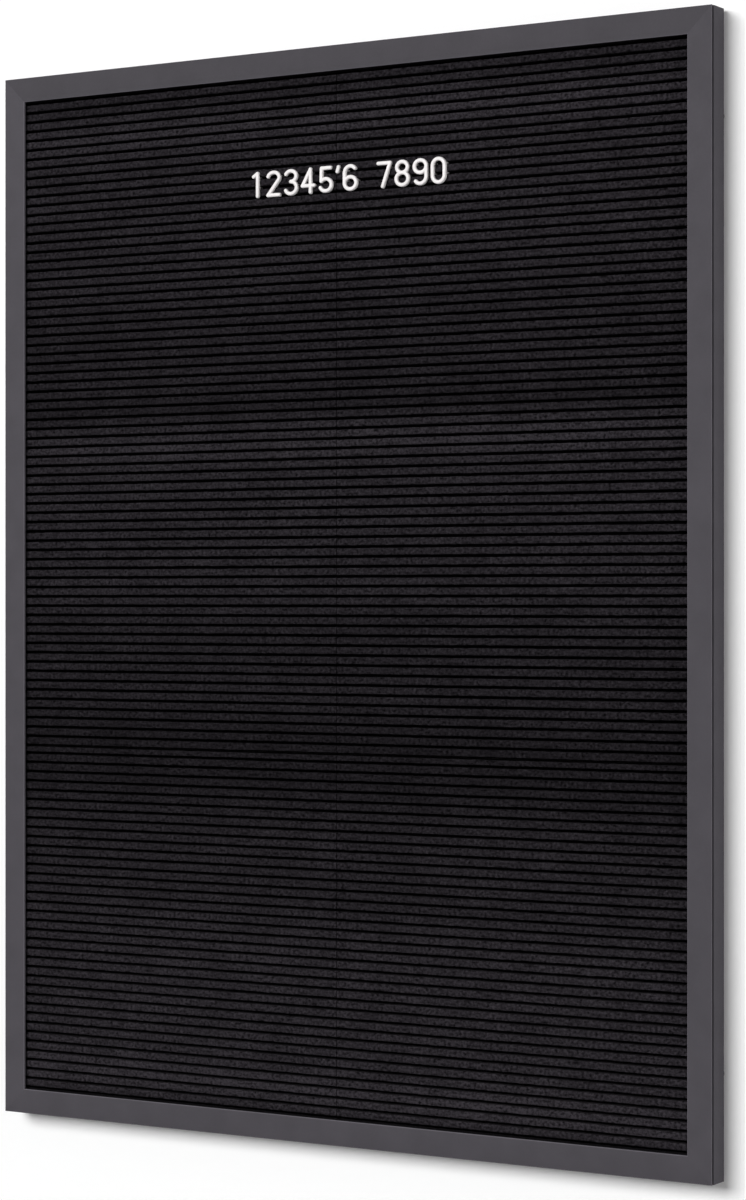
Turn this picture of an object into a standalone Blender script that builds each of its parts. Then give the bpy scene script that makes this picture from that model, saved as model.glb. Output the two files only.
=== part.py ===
"""Wall-hung letter board: a mitred aluminium frame round six grooved, felt-faced tiles.

Metres, +Z up. The board faces -Y and hangs with its back towards +Y. The origin is the middle of
the whole board, so the wall it hangs on is the plane y = half of the overall depth.

Two sets of words are used for the frame's section. "In" is the distance from the board's outer edge
towards its middle, and "back" is the distance from the front face towards the wall.
"""

import math

import bmesh
import bpy
from mathutils import Matrix, Vector

# Overall size
BOARD_WIDTH = 0.620
BOARD_HEIGHT = 0.820
FRAME_DEPTH = 0.020

# Clearances
SEAT_GAP = 0.0003
MITRE_GAP = 0.0002

# Frame section
FACE_WIDTH = 0.019
FACE_THICKNESS = 0.0014
FACE_EDGE = 0.0009
LIP_DEPTH = 0.0025
LIP_WALL = 0.0014
EDGE_BREAK = 0.0003
SHADOW_GROOVE_WIDTH = 0.0020
SHADOW_GROOVE_DEPTH = 0.0026
OUTER_WALL = 0.0016
REAR_WALL = 0.0015
INNER_WALL = 0.0012
LEDGE_WALL = 0.0014
KEY_CHANNEL_WIDTH = 0.010
FIN_HEIGHT = 0.0022

# Felt tiles
TILE_COLUMNS = 2
TILE_ROWS = 3
RIB_PITCH = 0.007363
TRIMMED_RIB_LEAST = 0.0017
TILE_THICKNESS = 0.0072
GROOVE_WIDTH = 0.0020
GROOVE_DEPTH = 0.0050
RIB_CHAMFER = 0.0004
TILE_SIDE_JOINT = 0.0005

# Backing board
BACKING_THICKNESS = 0.0030

# Corner keys and their screws
KEY_LEG = 0.060
KEY_TIP_CHAMFER = 0.0015
KEY_SCREW_FROM_CORNER = 0.032
SCREW_SHANK_RADIUS = 0.0015
SCREW_HEAD_RADIUS = 0.0029
SCREW_TIP_RADIUS = 0.0007
SCREW_TIP_LENGTH = 0.0012
PAN_HEAD_HEIGHT = 0.0016
KEY_SCREW_LENGTH = 0.0105
RECESS_ARM = 0.0016
RECESS_WIDTH = 0.0008
RECESS_DEPTH = 0.0009
ROUND_STEPS = 16

# Hanger plates and their screws
HANGER_FROM_MIDDLE = 0.190
HANGER_THICKNESS = 0.0015
HANGER_BAR_HALF_WIDTH = 0.023
HANGER_BAR_HALF_HEIGHT = 0.0050
HANGER_TAB_RADIUS = 0.011
HANGER_TAB_DROP = 0.017
HANGER_CORNER_RADIUS = 0.0025
HANGER_SCREW_SPREAD = 0.017
KEYHOLE_RADIUS = 0.0046
KEYHOLE_SLOT_RADIUS = 0.0024
KEYHOLE_DROP = 0.0185
KEYHOLE_SLOT_DROP = 0.0112
HANGER_SCREW_LENGTH = 0.0075
COUNTERSINK_DEPTH = 0.0013
COUNTERSINK_INSET = 0.0002

# Wall pads
PAD_RADIUS = 0.0055
PAD_THICKNESS = 0.0022
PAD_EDGE_BREAK = 0.0005
PAD_FROM_CORNER = 0.075

# Push-in characters
TEXT = "12345'6 7890"
TEXT_MIDDLE_X = 0.0093
TEXT_GROOVES_DOWN = 12
GLYPH_DROP = 0.0018
GLYPH_HEIGHT = 0.0200
GLYPH_WIDTH = 0.0130
GLYPH_ADVANCE = 0.0155
APOSTROPHE_ADVANCE = 0.0062
SPACE_ADVANCE = 0.0140
STROKE_WIDTH = 0.0029
STROKE_THICKNESS = 0.0022
STROKE_CHAMFER = 0.0006
APOSTROPHE_LENGTH = 0.0034
APOSTROPHE_LEAN = 0.0010
STROKE_JOIN_INSET = 0.0004
PEG_CLEARANCE = 0.0003
PEG_WIDTH = 0.0020
PEG_SPACING = 0.0050
PEG_END_CLEARANCE = 0.0006
PEG_ROOT = 0.0006
ARC_STEPS = 7

# Places that follow from the sizes above
PAD_REAR = FRAME_DEPTH + SEAT_GAP + PAD_THICKNESS
FRONT_Y = -PAD_REAR / 2
FELT_BACK = LIP_DEPTH + SEAT_GAP
BACKING_FRONT = FELT_BACK + TILE_THICKNESS + SEAT_GAP
LEDGE_FRONT = BACKING_FRONT + BACKING_THICKNESS + SEAT_GAP
CHANNEL_START = OUTER_WALL
CHANNEL_END = CHANNEL_START + KEY_CHANNEL_WIDTH
FIN_END = CHANNEL_END + INNER_WALL
KEY_FRONT = FACE_EDGE + SHADOW_GROOVE_WIDTH + OUTER_WALL + SEAT_GAP
KEY_REAR = FRAME_DEPTH - REAR_WALL - SEAT_GAP
BAND_MIDDLE = FIN_END / 2
KEY_MIDDLE = (CHANNEL_START + CHANNEL_END) / 2
PANEL_HEIGHT = BOARD_HEIGHT - 2 * (FIN_END + SEAT_GAP)
PANEL_WIDTH = BOARD_WIDTH - 2 * (FIN_END + SEAT_GAP)
TILE_WIDTH = PANEL_WIDTH / TILE_COLUMNS
WHOLE_RIBS = int((PANEL_HEIGHT - GROOVE_WIDTH - TRIMMED_RIB_LEAST) / RIB_PITCH)
TRIMMED_PITCH = PANEL_HEIGHT - WHOLE_RIBS * RIB_PITCH

FINISHES = {
    "powder_coat": ((0.082, 0.076, 0.087), 0.45, 0.0),
    "felt": ((0.016, 0.015, 0.017), 0.95, 0.0),
    "hardboard": ((0.25, 0.15, 0.08), 0.85, 0.0),
    "zinc": ((0.55, 0.56, 0.58), 0.40, 1.0),
    "plated_steel": ((0.62, 0.62, 0.60), 0.32, 1.0),
    "rubber": ((0.02, 0.02, 0.02), 0.80, 0.0),
    "white_plastic": ((0.82, 0.80, 0.78), 0.35, 0.0),
}


def back(distance):
    """The y of a place that lies this far behind the front face."""
    return FRONT_Y + distance


def clear_scene():
    for obj in list(bpy.data.objects):
        bpy.data.objects.remove(obj)


def make_materials():
    made = {}
    for name, (colour, roughness, metallic) in FINISHES.items():
        material = bpy.data.materials.new(name)
        material.use_nodes = True
        shader = material.node_tree.nodes["Principled BSDF"]
        shader.inputs["Base Color"].default_value = (*colour, 1)
        shader.inputs["Roughness"].default_value = roughness
        shader.inputs["Metallic"].default_value = metallic
        made[name] = material
    return made


def mesh_from(bm, name, smooth=False):
    """A mesh from bm, with its normals facing out."""
    bmesh.ops.recalc_face_normals(bm, faces=bm.faces)
    mesh = bpy.data.meshes.new(name)
    bm.to_mesh(mesh)
    bm.free()
    if smooth:
        mesh.shade_smooth()
        mesh.set_sharp_from_angle(angle=math.radians(35))
    return mesh


def place(name, mesh, material, location=(0, 0, 0)):
    obj = bpy.data.objects.new(name, mesh)
    obj.location = location
    bpy.context.scene.collection.objects.link(obj)
    if not mesh.materials:
        mesh.materials.append(material)
    return obj


def helper(name, mesh):
    """An object that only cuts others, and isn't part of the board."""
    obj = bpy.data.objects.new(name, mesh)
    bpy.context.scene.collection.objects.link(obj)
    obj.hide_render = True
    obj.display_type = "WIRE"
    return obj


def boolean(obj, other, operation):
    modifier = obj.modifiers.new(operation.lower(), "BOOLEAN")
    modifier.operation = operation
    modifier.solver = "EXACT"
    modifier.object = other


def applied(obj, name):
    """The mesh of obj with its modifiers worked in."""
    bpy.context.view_layer.update()
    graph = bpy.context.evaluated_depsgraph_get()
    mesh = bpy.data.meshes.new_from_object(obj.evaluated_get(graph))
    mesh.name = name
    return mesh


def rectangle(x0, z0, x1, z1):
    return [(x0, z0), (x1, z0), (x1, z1), (x0, z1)]


def prism(outline, y_front, y_rear):
    """A bmesh of a closed outline of (x, z) points, extruded from y_front to y_rear."""
    bm = bmesh.new()
    face = bm.faces.new([bm.verts.new((x, y_front, z)) for x, z in outline])
    grown = bmesh.ops.extrude_face_region(bm, geom=[face])
    moved = [v for v in grown["geom"] if isinstance(v, bmesh.types.BMVert)]
    bmesh.ops.translate(bm, vec=(0, y_rear - y_front, 0), verts=moved)
    return bm


def lathe(profile, steps=ROUND_STEPS):
    """A bmesh of (radius, y) points from axis to axis, spun round the Y axis."""
    bm = bmesh.new()
    verts = [bm.verts.new((radius, y, 0)) for radius, y in profile]
    edges = [bm.edges.new(pair) for pair in zip(verts, verts[1:])]
    whole_turn = 2 * math.pi
    bmesh.ops.spin(bm, geom=verts + edges, axis=(0, 1, 0), cent=(0, 0, 0), angle=whole_turn, steps=steps)
    bmesh.ops.remove_doubles(bm, verts=bm.verts, dist=1e-6)
    return bm


def arc(centre_x, centre_z, radius_x, radius_z, start, end, steps=ARC_STEPS):
    """Points on an elliptic arc, from start to end degrees, anticlockwise from +X when end is larger."""
    points = []
    for i in range(steps + 1):
        angle = math.radians(start + (end - start) * i / steps)
        points.append((centre_x + radius_x * math.cos(angle), centre_z + radius_z * math.sin(angle)))
    return points


def loop(centre_x, centre_z, radius_x, radius_z, steps=16):
    """Points all round an ellipse, each once."""
    return arc(centre_x, centre_z, radius_x, radius_z, 0, 360, steps)[:-1]


def cylinders(name, places, radius, y_front, y_rear):
    """One helper with a cylinder along Y at each (x, z) place."""
    bm = bmesh.new()
    length = y_rear - y_front
    for x, z in places:
        turn = Matrix.Rotation(math.pi / 2, 4, "X")
        where = Matrix.Translation((x, y_front + length / 2, z)) @ turn
        round_size = {"segments": ROUND_STEPS, "radius1": radius, "radius2": radius, "depth": length}
        bmesh.ops.create_cone(bm, cap_ends=True, matrix=where, **round_size)
    return helper(name, mesh_from(bm, name))


# Frame rails


def rail_section():
    """The rail's outline as (in, back) points: face, lip, key channel, ledge, rear wall, shadow groove."""
    groove_rear = FACE_EDGE + SHADOW_GROOVE_WIDTH
    groove_wall = SHADOW_GROOVE_DEPTH + OUTER_WALL
    lip_in = FACE_WIDTH - LIP_WALL
    rear_inside = FRAME_DEPTH - REAR_WALL
    ledge_rear = LEDGE_FRONT + LEDGE_WALL
    return [
        (EDGE_BREAK, 0),
        (FACE_WIDTH - EDGE_BREAK, 0),
        (FACE_WIDTH, EDGE_BREAK),
        (FACE_WIDTH, LIP_DEPTH),
        (lip_in, LIP_DEPTH),
        (lip_in, FACE_THICKNESS),
        (FIN_END, FACE_THICKNESS),
        (FIN_END, FACE_THICKNESS + FIN_HEIGHT),
        (CHANNEL_END, FACE_THICKNESS + FIN_HEIGHT),
        (CHANNEL_END, FACE_THICKNESS),
        (groove_wall, FACE_THICKNESS),
        (groove_wall, groove_rear + OUTER_WALL),
        (CHANNEL_START, groove_rear + OUTER_WALL),
        (CHANNEL_START, rear_inside),
        (CHANNEL_END, rear_inside),
        (CHANNEL_END, LEDGE_FRONT - FIN_HEIGHT),
        (FIN_END, LEDGE_FRONT - FIN_HEIGHT),
        (FIN_END, LEDGE_FRONT),
        (FACE_WIDTH, LEDGE_FRONT),
        (FACE_WIDTH, ledge_rear),
        (FIN_END, ledge_rear),
        (FIN_END, FRAME_DEPTH),
        (EDGE_BREAK, FRAME_DEPTH),
        (0, FRAME_DEPTH - EDGE_BREAK),
        (0, groove_rear + EDGE_BREAK),
        (EDGE_BREAK, groove_rear),
        (SHADOW_GROOVE_DEPTH, groove_rear),
        (SHADOW_GROOVE_DEPTH, FACE_EDGE),
        (0, FACE_EDGE),
        (0, EDGE_BREAK),
    ]


def rail_mesh(name, length, half_span, turn):
    """A rail cut to 45 degrees at both ends, made along X at the bottom edge, then turned about Y."""
    bm = bmesh.new()
    half = length / 2 - MITRE_GAP / math.sqrt(2)
    cut = [(inwards - half, back(depth), inwards - half_span) for inwards, depth in rail_section()]
    face = bm.faces.new([bm.verts.new(spot) for spot in cut])
    grown = bmesh.ops.extrude_face_region(bm, geom=[face])
    for item in grown["geom"]:
        if isinstance(item, bmesh.types.BMVert):
            item.co.x = -item.co.x
    turned = Matrix.Rotation(math.radians(turn), 3, "Y")
    bmesh.ops.rotate(bm, verts=bm.verts, cent=(0, 0, 0), matrix=turned)
    return mesh_from(bm, name)


def key_screw_places():
    """(x, z) of the two screws at each corner, by corner and rail."""
    def from_corner(side_x, side_z, along_x, along_z):
        return side_x * (BOARD_WIDTH / 2 - along_x), side_z * (BOARD_HEIGHT / 2 - along_z)

    places = {}
    for corner, sides in corners().items():
        on_level = from_corner(*sides, KEY_SCREW_FROM_CORNER, KEY_MIDDLE)
        on_upright = from_corner(*sides, KEY_MIDDLE, KEY_SCREW_FROM_CORNER)
        places[corner] = {"level": on_level, "upright": on_upright}
    return places


def corners():
    return {
        "top_left": (-1, 1),
        "top_right": (1, 1),
        "bottom_left": (-1, -1),
        "bottom_right": (1, -1),
    }


def hanger_places():
    """(x, z) of the middle of each hanger plate's bar."""
    level = BOARD_HEIGHT / 2 - BAND_MIDDLE
    return {"left": (-HANGER_FROM_MIDDLE, level), "right": (HANGER_FROM_MIDDLE, level)}


def make_rails(materials):
    half_width = BOARD_WIDTH / 2
    half_height = BOARD_HEIGHT / 2
    screws = key_screw_places()
    hanger_screws = [
        (x + side * HANGER_SCREW_SPREAD, z) for x, z in hanger_places().values() for side in (-1, 1)
    ]
    rails = {
        "rail_bottom": (BOARD_WIDTH, half_height, 0, ("bottom_left", "bottom_right"), "level"),
        "rail_left": (BOARD_HEIGHT, half_width, 90, ("top_left", "bottom_left"), "upright"),
        "rail_top": (BOARD_WIDTH, half_height, 180, ("top_left", "top_right"), "level"),
        "rail_right": (BOARD_HEIGHT, half_width, 270, ("top_right", "bottom_right"), "upright"),
    }
    hole = SCREW_SHANK_RADIUS + SEAT_GAP
    for name, (length, half_span, turn, ends, rail_kind) in rails.items():
        rail = place(name, rail_mesh(name, length, half_span, turn), materials["powder_coat"])
        places = [screws[corner][rail_kind] for corner in ends]
        if name == "rail_top":
            places += hanger_screws
        rear_wall = (back(FRAME_DEPTH - 2 * REAR_WALL), back(FRAME_DEPTH + REAR_WALL))
        drill = cylinders(f"drill_{name}", places, hole, *rear_wall)
        boolean(rail, drill, "DIFFERENCE")


# Corner keys


def make_corner_keys(materials):
    """An L-shaped block for each corner, which fills the key channels of the two rails that meet."""
    outer = CHANNEL_START + SEAT_GAP
    inner = CHANNEL_END - SEAT_GAP
    tip = KEY_LEG
    break_ = KEY_TIP_CHAMFER
    outline = [
        (outer + break_, outer),
        (tip - break_, outer),
        (tip, outer + break_),
        (tip, inner - break_),
        (tip - break_, inner),
        (inner, inner),
        (inner, tip - break_),
        (inner - break_, tip),
        (outer + break_, tip),
        (outer, tip - break_),
        (outer, outer + break_),
    ]
    hole = SCREW_SHANK_RADIUS + SEAT_GAP
    for corner, (side_x, side_z) in corners().items():
        placed = [(side_x * (BOARD_WIDTH / 2 - x), side_z * (BOARD_HEIGHT / 2 - z)) for x, z in outline]
        name = f"corner_key_{corner}"
        block = prism(placed, back(KEY_FRONT), back(KEY_REAR))
        key = place(name, mesh_from(block, name), materials["zinc"])
        places = list(key_screw_places()[corner].values())
        past = REAR_WALL
        drill = cylinders(f"drill_{name}", places, hole, back(KEY_FRONT - past), back(KEY_REAR + past))
        boolean(key, drill, "DIFFERENCE")


# Screws


def cross_recess(face_y):
    """A helper shaped like a plus sign, which sinks a cross into a screw head whose face is at face_y."""
    arm = RECESS_ARM
    half = RECESS_WIDTH / 2
    outline = [
        (half, half), (half, arm), (-half, arm), (-half, half), (-arm, half), (-arm, -half),
        (-half, -half), (-half, -arm), (half, -arm), (half, -half), (arm, -half), (arm, half),
    ]
    cross = prism(outline, face_y - RECESS_DEPTH, face_y + RECESS_DEPTH)
    return helper("recess", mesh_from(cross, "recess"))


def screw_mesh(name, profile, face_y):
    """A screw along Y, head at +Y, with a cross recess."""
    blank = helper("blank_" + name, mesh_from(lathe(profile), "blank_" + name, smooth=True))
    recess = cross_recess(face_y)
    boolean(blank, recess, "DIFFERENCE")
    mesh = applied(blank, name)
    for used in (blank, recess):
        bpy.data.objects.remove(used)
    return mesh


def pan_screw_mesh():
    """y = 0 is under the head, which has a rounded edge."""
    radius = SCREW_HEAD_RADIUS
    shank = SCREW_SHANK_RADIUS
    top = PAN_HEAD_HEIGHT
    profile = [
        (0, -KEY_SCREW_LENGTH),
        (SCREW_TIP_RADIUS, -KEY_SCREW_LENGTH),
        (shank, -KEY_SCREW_LENGTH + SCREW_TIP_LENGTH),
        (shank, 0),
        (radius, 0),
        (radius, top * 0.45),
        (radius * 0.86, top * 0.85),
        (radius * 0.66, top),
        (0, top),
    ]
    return screw_mesh("pan_screw", profile, top)


def flat_screw_mesh():
    """y = 0 is the head's flat face, and the cone below it ends at the shank."""
    shank = SCREW_SHANK_RADIUS
    profile = [
        (0, -HANGER_SCREW_LENGTH),
        (SCREW_TIP_RADIUS, -HANGER_SCREW_LENGTH),
        (shank, -HANGER_SCREW_LENGTH + SCREW_TIP_LENGTH),
        (shank, -COUNTERSINK_DEPTH),
        (SCREW_HEAD_RADIUS, 0),
        (0, 0),
    ]
    return screw_mesh("flat_screw", profile, 0)


def make_corner_screws(materials):
    mesh = pan_screw_mesh()
    for corner, screws in key_screw_places().items():
        for rail_kind, (x, z) in screws.items():
            where = (x, back(FRAME_DEPTH + SEAT_GAP), z)
            place(f"corner_screw_{corner}_{rail_kind}", mesh, materials["plated_steel"], where)


# Hanger plates


def hanger_outline():
    """A bar with a round-ended tab below it, as (x, z) points from the bar's middle, anticlockwise."""
    bar_x = HANGER_BAR_HALF_WIDTH
    bar_z = HANGER_BAR_HALF_HEIGHT
    radius = HANGER_CORNER_RADIUS
    tab = HANGER_TAB_RADIUS
    round_steps = 3
    points = arc(0, -HANGER_TAB_DROP, tab, tab, 180, 360, 12)
    points += arc(tab + radius, -bar_z - radius, radius, radius, 180, 90, round_steps)
    points += arc(bar_x - radius, -bar_z + radius, radius, radius, 270, 360, round_steps)
    points += arc(bar_x - radius, bar_z - radius, radius, radius, 0, 90, round_steps)
    points += arc(radius - bar_x, bar_z - radius, radius, radius, 90, 180, round_steps)
    points += arc(radius - bar_x, -bar_z + radius, radius, radius, 180, 270, round_steps)
    points += arc(-tab - radius, -bar_z - radius, radius, radius, 90, 0, round_steps)
    return points


def keyhole_outline():
    """A round hole with a narrower slot above it, for a wall screw's head and shank."""
    angle = math.degrees(math.asin(KEYHOLE_SLOT_RADIUS / KEYHOLE_RADIUS))
    points = arc(0, -KEYHOLE_DROP, KEYHOLE_RADIUS, KEYHOLE_RADIUS, 90 + angle, 450 - angle, 16)
    points += arc(0, -KEYHOLE_SLOT_DROP, KEYHOLE_SLOT_RADIUS, KEYHOLE_SLOT_RADIUS, 0, 180, 8)
    return points


def countersink_profile():
    """The flat screw's cone and shank, wider by the seat gap, and run past both faces of the plate."""
    hole = SCREW_SHANK_RADIUS + SEAT_GAP
    mouth = SCREW_HEAD_RADIUS + SEAT_GAP
    cone_end = -COUNTERSINK_INSET - COUNTERSINK_DEPTH
    past = HANGER_THICKNESS
    return [
        (0, -HANGER_THICKNESS - past),
        (hole, -HANGER_THICKNESS - past),
        (hole, cone_end),
        (mouth, -COUNTERSINK_INSET),
        (mouth, past),
        (0, past),
    ]


def make_hangers(materials):
    plate_front = back(FRAME_DEPTH + SEAT_GAP)
    plate_rear = plate_front + HANGER_THICKNESS
    past = HANGER_THICKNESS
    blank = helper("blank", mesh_from(prism(hanger_outline(), plate_front, plate_rear), "blank"))
    cut = prism(keyhole_outline(), plate_front - past, plate_rear + past)
    keyhole = helper("keyhole", mesh_from(cut, "keyhole"))
    boolean(blank, keyhole, "DIFFERENCE")
    sinks = []
    for side in (-1, 1):
        sink = helper("countersink", mesh_from(lathe(countersink_profile()), "countersink"))
        sink.location = (side * HANGER_SCREW_SPREAD, plate_rear, 0)
        boolean(blank, sink, "DIFFERENCE")
        sinks.append(sink)
    plate = applied(blank, "hanger_plate")
    for used in (blank, keyhole, *sinks):
        bpy.data.objects.remove(used)
    screw = flat_screw_mesh()
    for side_name, (x, z) in hanger_places().items():
        place(f"hanger_plate_{side_name}", plate, materials["plated_steel"], (x, 0, z))
        for end_name, end in (("a", -1), ("b", 1)):
            where = (x + end * HANGER_SCREW_SPREAD, plate_rear - COUNTERSINK_INSET, z)
            place(f"hanger_screw_{side_name}_{end_name}", screw, materials["plated_steel"], where)


# Wall pads


def make_wall_pads(materials):
    """A round stick-on pad near each end of the upright rails, which keeps the board off the wall."""
    edge = PAD_EDGE_BREAK
    profile = [
        (0, 0),
        (PAD_RADIUS, 0),
        (PAD_RADIUS, PAD_THICKNESS - edge),
        (PAD_RADIUS - edge, PAD_THICKNESS),
        (0, PAD_THICKNESS),
    ]
    mesh = mesh_from(lathe(profile, 24), "wall_pad", smooth=True)
    for corner, (side_x, side_z) in corners().items():
        x = side_x * (BOARD_WIDTH / 2 - BAND_MIDDLE)
        z = side_z * (BOARD_HEIGHT / 2 - PAD_FROM_CORNER)
        place(f"wall_pad_{corner}", mesh, materials["rubber"], (x, back(FRAME_DEPTH + SEAT_GAP), z))


# Backing board and felt tiles


def make_backing(materials):
    half_x = PANEL_WIDTH / 2
    half_z = PANEL_HEIGHT / 2
    outline = rectangle(-half_x, -half_z, half_x, half_z)
    sheet = prism(outline, back(BACKING_FRONT), back(BACKING_FRONT + BACKING_THICKNESS))
    place("backing_board", mesh_from(sheet, "backing_board"), materials["hardboard"])


def tile_rows():
    """Each row's name, top and rib pitches, from the top down. The rows share the whole ribs, and the last
    one takes what is left over: its first rib is trimmed to fit."""
    shared = WHOLE_RIBS // TILE_ROWS
    rest = WHOLE_RIBS - (TILE_ROWS - 1) * shared
    top = PANEL_HEIGHT / 2
    rows = []
    for name in ("top", "middle", "bottom"):
        pitches = [TRIMMED_PITCH] + [RIB_PITCH] * rest if name == "bottom" else [RIB_PITCH] * shared
        rows.append((name, top, pitches))
        top -= sum(pitches)
    return rows


def tile_section(pitches):
    """(y, z) points of a tile whose top is at z = 0: the flat back, then every rib, with half a groove at
    each end."""
    rear = back(FELT_BACK + TILE_THICKNESS)
    floor = back(FELT_BACK + GROOVE_DEPTH)
    crest = back(FELT_BACK)
    end = SEAT_GAP / 2
    points = [(rear, -end), (floor, -end)]
    top = 0
    for pitch in pitches:
        high = top - GROOVE_WIDTH / 2
        low = top - pitch + GROOVE_WIDTH / 2
        points += [
            (floor, high),
            (crest + RIB_CHAMFER, high),
            (crest, high - RIB_CHAMFER),
            (crest, low + RIB_CHAMFER),
            (crest + RIB_CHAMFER, low),
            (floor, low),
        ]
        top -= pitch
    return points + [(floor, top + end), (rear, top + end)]


def tile_mesh(pitches):
    """The tile's section carried from side to side."""
    half = (TILE_WIDTH - TILE_SIDE_JOINT) / 2
    bm = bmesh.new()
    face = bm.faces.new([bm.verts.new((-half, y, z)) for y, z in tile_section(pitches)])
    grown = bmesh.ops.extrude_face_region(bm, geom=[face])
    moved = [v for v in grown["geom"] if isinstance(v, bmesh.types.BMVert)]
    bmesh.ops.translate(bm, vec=(2 * half, 0, 0), verts=moved)
    return mesh_from(bm, "felt_tile")


def make_tiles(materials):
    """Rows of tiles side by side, whose half grooves meet at each joint."""
    for row_name, top, pitches in tile_rows():
        mesh = tile_mesh(pitches)
        for column, column_name in enumerate(("left", "right")):
            x = (column - (TILE_COLUMNS - 1) / 2) * TILE_WIDTH
            place(f"felt_tile_{row_name}_{column_name}", mesh, materials["felt"], (x, 0, top))


# Push-in characters


def inset(start, end):
    """A point a little way from start towards end, so that one stroke begins inside another's end."""
    first = Vector(start)
    moved = first + (Vector(end) - first).normalized() * STROKE_JOIN_INSET
    return (moved.x, moved.y)


def digit_strokes(digit):
    """The centre lines of a digit as (points, closed), round its middle."""
    w = (GLYPH_WIDTH - STROKE_WIDTH) / 2
    h = (GLYPH_HEIGHT - STROKE_WIDTH) / 2
    waist = 0.06 * h
    upper = (h - waist) / 2
    lower = (h + waist) / 2
    top_bowl = waist + upper
    low_bowl = -h + lower
    shoulder = h - w
    crossbar = -0.42 * h
    if digit == "0":
        return [(arc(0, shoulder, w, w, 0, 180, 12) + arc(0, -shoulder, w, w, 180, 360, 12), True)]
    if digit == "1":
        top = (0.2 * w, h)
        flag = (-0.5 * w, 0.74 * h)
        return [([top, (0.2 * w, -h)], False), ([inset(top, flag), flag], False)]
    if digit == "2":
        bowl = arc(0, top_bowl, w, upper, 165, -25, 12)
        corner = (-w, -h)
        return [(bowl + [corner], False), ([inset(corner, (w, -h)), (w, -h)], False)]
    if digit == "3":
        high = arc(0, top_bowl, 0.94 * w, upper, 155, -90, 14)
        low = arc(0, low_bowl, w, lower, 90, -155, 14)
        return [(high, False), (low, False)]
    if digit == "4":
        top = (0.4 * w, h)
        corner = (-w, crossbar)
        diagonal = [inset(top, corner), inset(corner, top)]
        return [([top, (0.4 * w, -h)], False), (diagonal, False), ([corner, (w, crossbar)], False)]
    if digit == "5":
        bowl = arc(0, low_bowl, w, lower, 140, -155, 16)
        corner = (-0.72 * w, h)
        stem = [inset(corner, bowl[0]), inset(bowl[0], corner)]
        return [([(0.85 * w, h), corner], False), (stem, False), (bowl, False)]
    if digit == "6":
        hook = arc(0, shoulder, w, w, 40, 180, 9) + [(-w, low_bowl)]
        return [(loop(0, low_bowl, w, lower), True), (hook, False)]
    if digit == "7":
        corner = (w, h)
        foot = (-0.25 * w, -h)
        return [([(-w, h), corner], False), ([inset(corner, foot), foot], False)]
    if digit == "8":
        return [(loop(0, top_bowl, 0.9 * w, upper), True), (loop(0, low_bowl, w, lower), True)]
    return [([(-x, -z) for x, z in points], closed) for points, closed in digit_strokes("6")]


def apostrophe_strokes():
    top = (GLYPH_HEIGHT - STROKE_WIDTH) / 2
    return [([(APOSTROPHE_LEAN / 2, top), (-APOSTROPHE_LEAN / 2, top - APOSTROPHE_LENGTH)], False)]


def stroke_directions(path, closed):
    """The unit direction and the mitre stretch at each point of a centre line."""
    count = len(path)
    found = []
    for i, point in enumerate(path):
        before = path[i - 1] if closed or i else None
        after = path[(i + 1) % count] if closed or i < count - 1 else None
        arriving = (point - before).normalized() if before else (after - point).normalized()
        leaving = (after - point).normalized() if after else arriving
        along = (arriving + leaving).normalized()
        found.append((along, 1 / max(along.dot(leaving), 0.35)))
    return found


def rounded_ends(stations):
    """The stations of an open centre line, with narrowing ones added past both ends."""
    half = STROKE_WIDTH / 2
    turns = [math.radians(angle) for angle in (78, 52, 26)]
    first, start, _ = stations[0]
    last, end, _ = stations[-1]
    nose = [(first - start * half * math.sin(turn), start, math.cos(turn)) for turn in turns]
    tail = [(last + end * half * math.sin(turn), end, math.cos(turn)) for turn in reversed(turns)]
    return nose + stations + tail


def stroke_section():
    """The bar's section as (across, height) points: a flat back at height 0 and chamfered front edges."""
    half = STROKE_WIDTH / 2
    narrow = half - STROKE_CHAMFER
    flank = STROKE_THICKNESS - STROKE_CHAMFER
    top = STROKE_THICKNESS
    return [(-half, 0), (half, 0), (half, flank), (narrow, top), (-narrow, top), (-half, flank)]


def stroke_mesh(points, closed):
    """A bar with the stroke's section, carried along a centre line."""
    path = [Vector(p) for p in points]
    stations = [(p, along, stretch) for p, (along, stretch) in zip(path, stroke_directions(path, closed))]
    if not closed:
        stations = rounded_ends(stations)
    bm = bmesh.new()
    rings = []
    for centre, along, stretch in stations:
        across = Vector((along.y, -along.x)) * stretch
        spots = [(centre + across * offset, height) for offset, height in stroke_section()]
        rings.append([bm.verts.new((spot.x, -height, spot.y)) for spot, height in spots])
    pairs = list(zip(rings, rings[1:]))
    if closed:
        pairs.append((rings[-1], rings[0]))
    else:
        bm.faces.new(rings[0])
        bm.faces.new(rings[-1])
    for one, other in pairs:
        for i in range(len(one)):
            j = (i + 1) % len(one)
            bm.faces.new((one[i], one[j], other[j], other[i]))
    return mesh_from(bm, "stroke")


def crossings(strokes, level):
    """The x of each place where a centre line passes a height, for a peg behind it, kept well apart."""
    found = []
    for points, closed in strokes:
        ends = points[1:] + points[:1] if closed else points[1:]
        for (x0, z0), (x1, z1) in zip(points, ends):
            if min(z0, z1) <= level < max(z0, z1):
                found.append(x0 + (x1 - x0) * (level - z0) / (z1 - z0))
    kept = []
    for x in sorted(found, reverse=True):
        if not kept or kept[-1] - x > PEG_SPACING:
            kept.append(x)
    return kept


def peg_mesh(x, z):
    """A peg that reaches from inside the stroke into the groove behind it."""
    half_x = PEG_WIDTH / 2
    half_z = GROOVE_WIDTH / 2 - PEG_CLEARANCE
    outline = rectangle(x - half_x, z - half_z, x + half_x, z + half_z)
    return mesh_from(prism(outline, -PEG_ROOT, SEAT_GAP + GROOVE_DEPTH - PEG_END_CLEARANCE), "peg")


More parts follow.
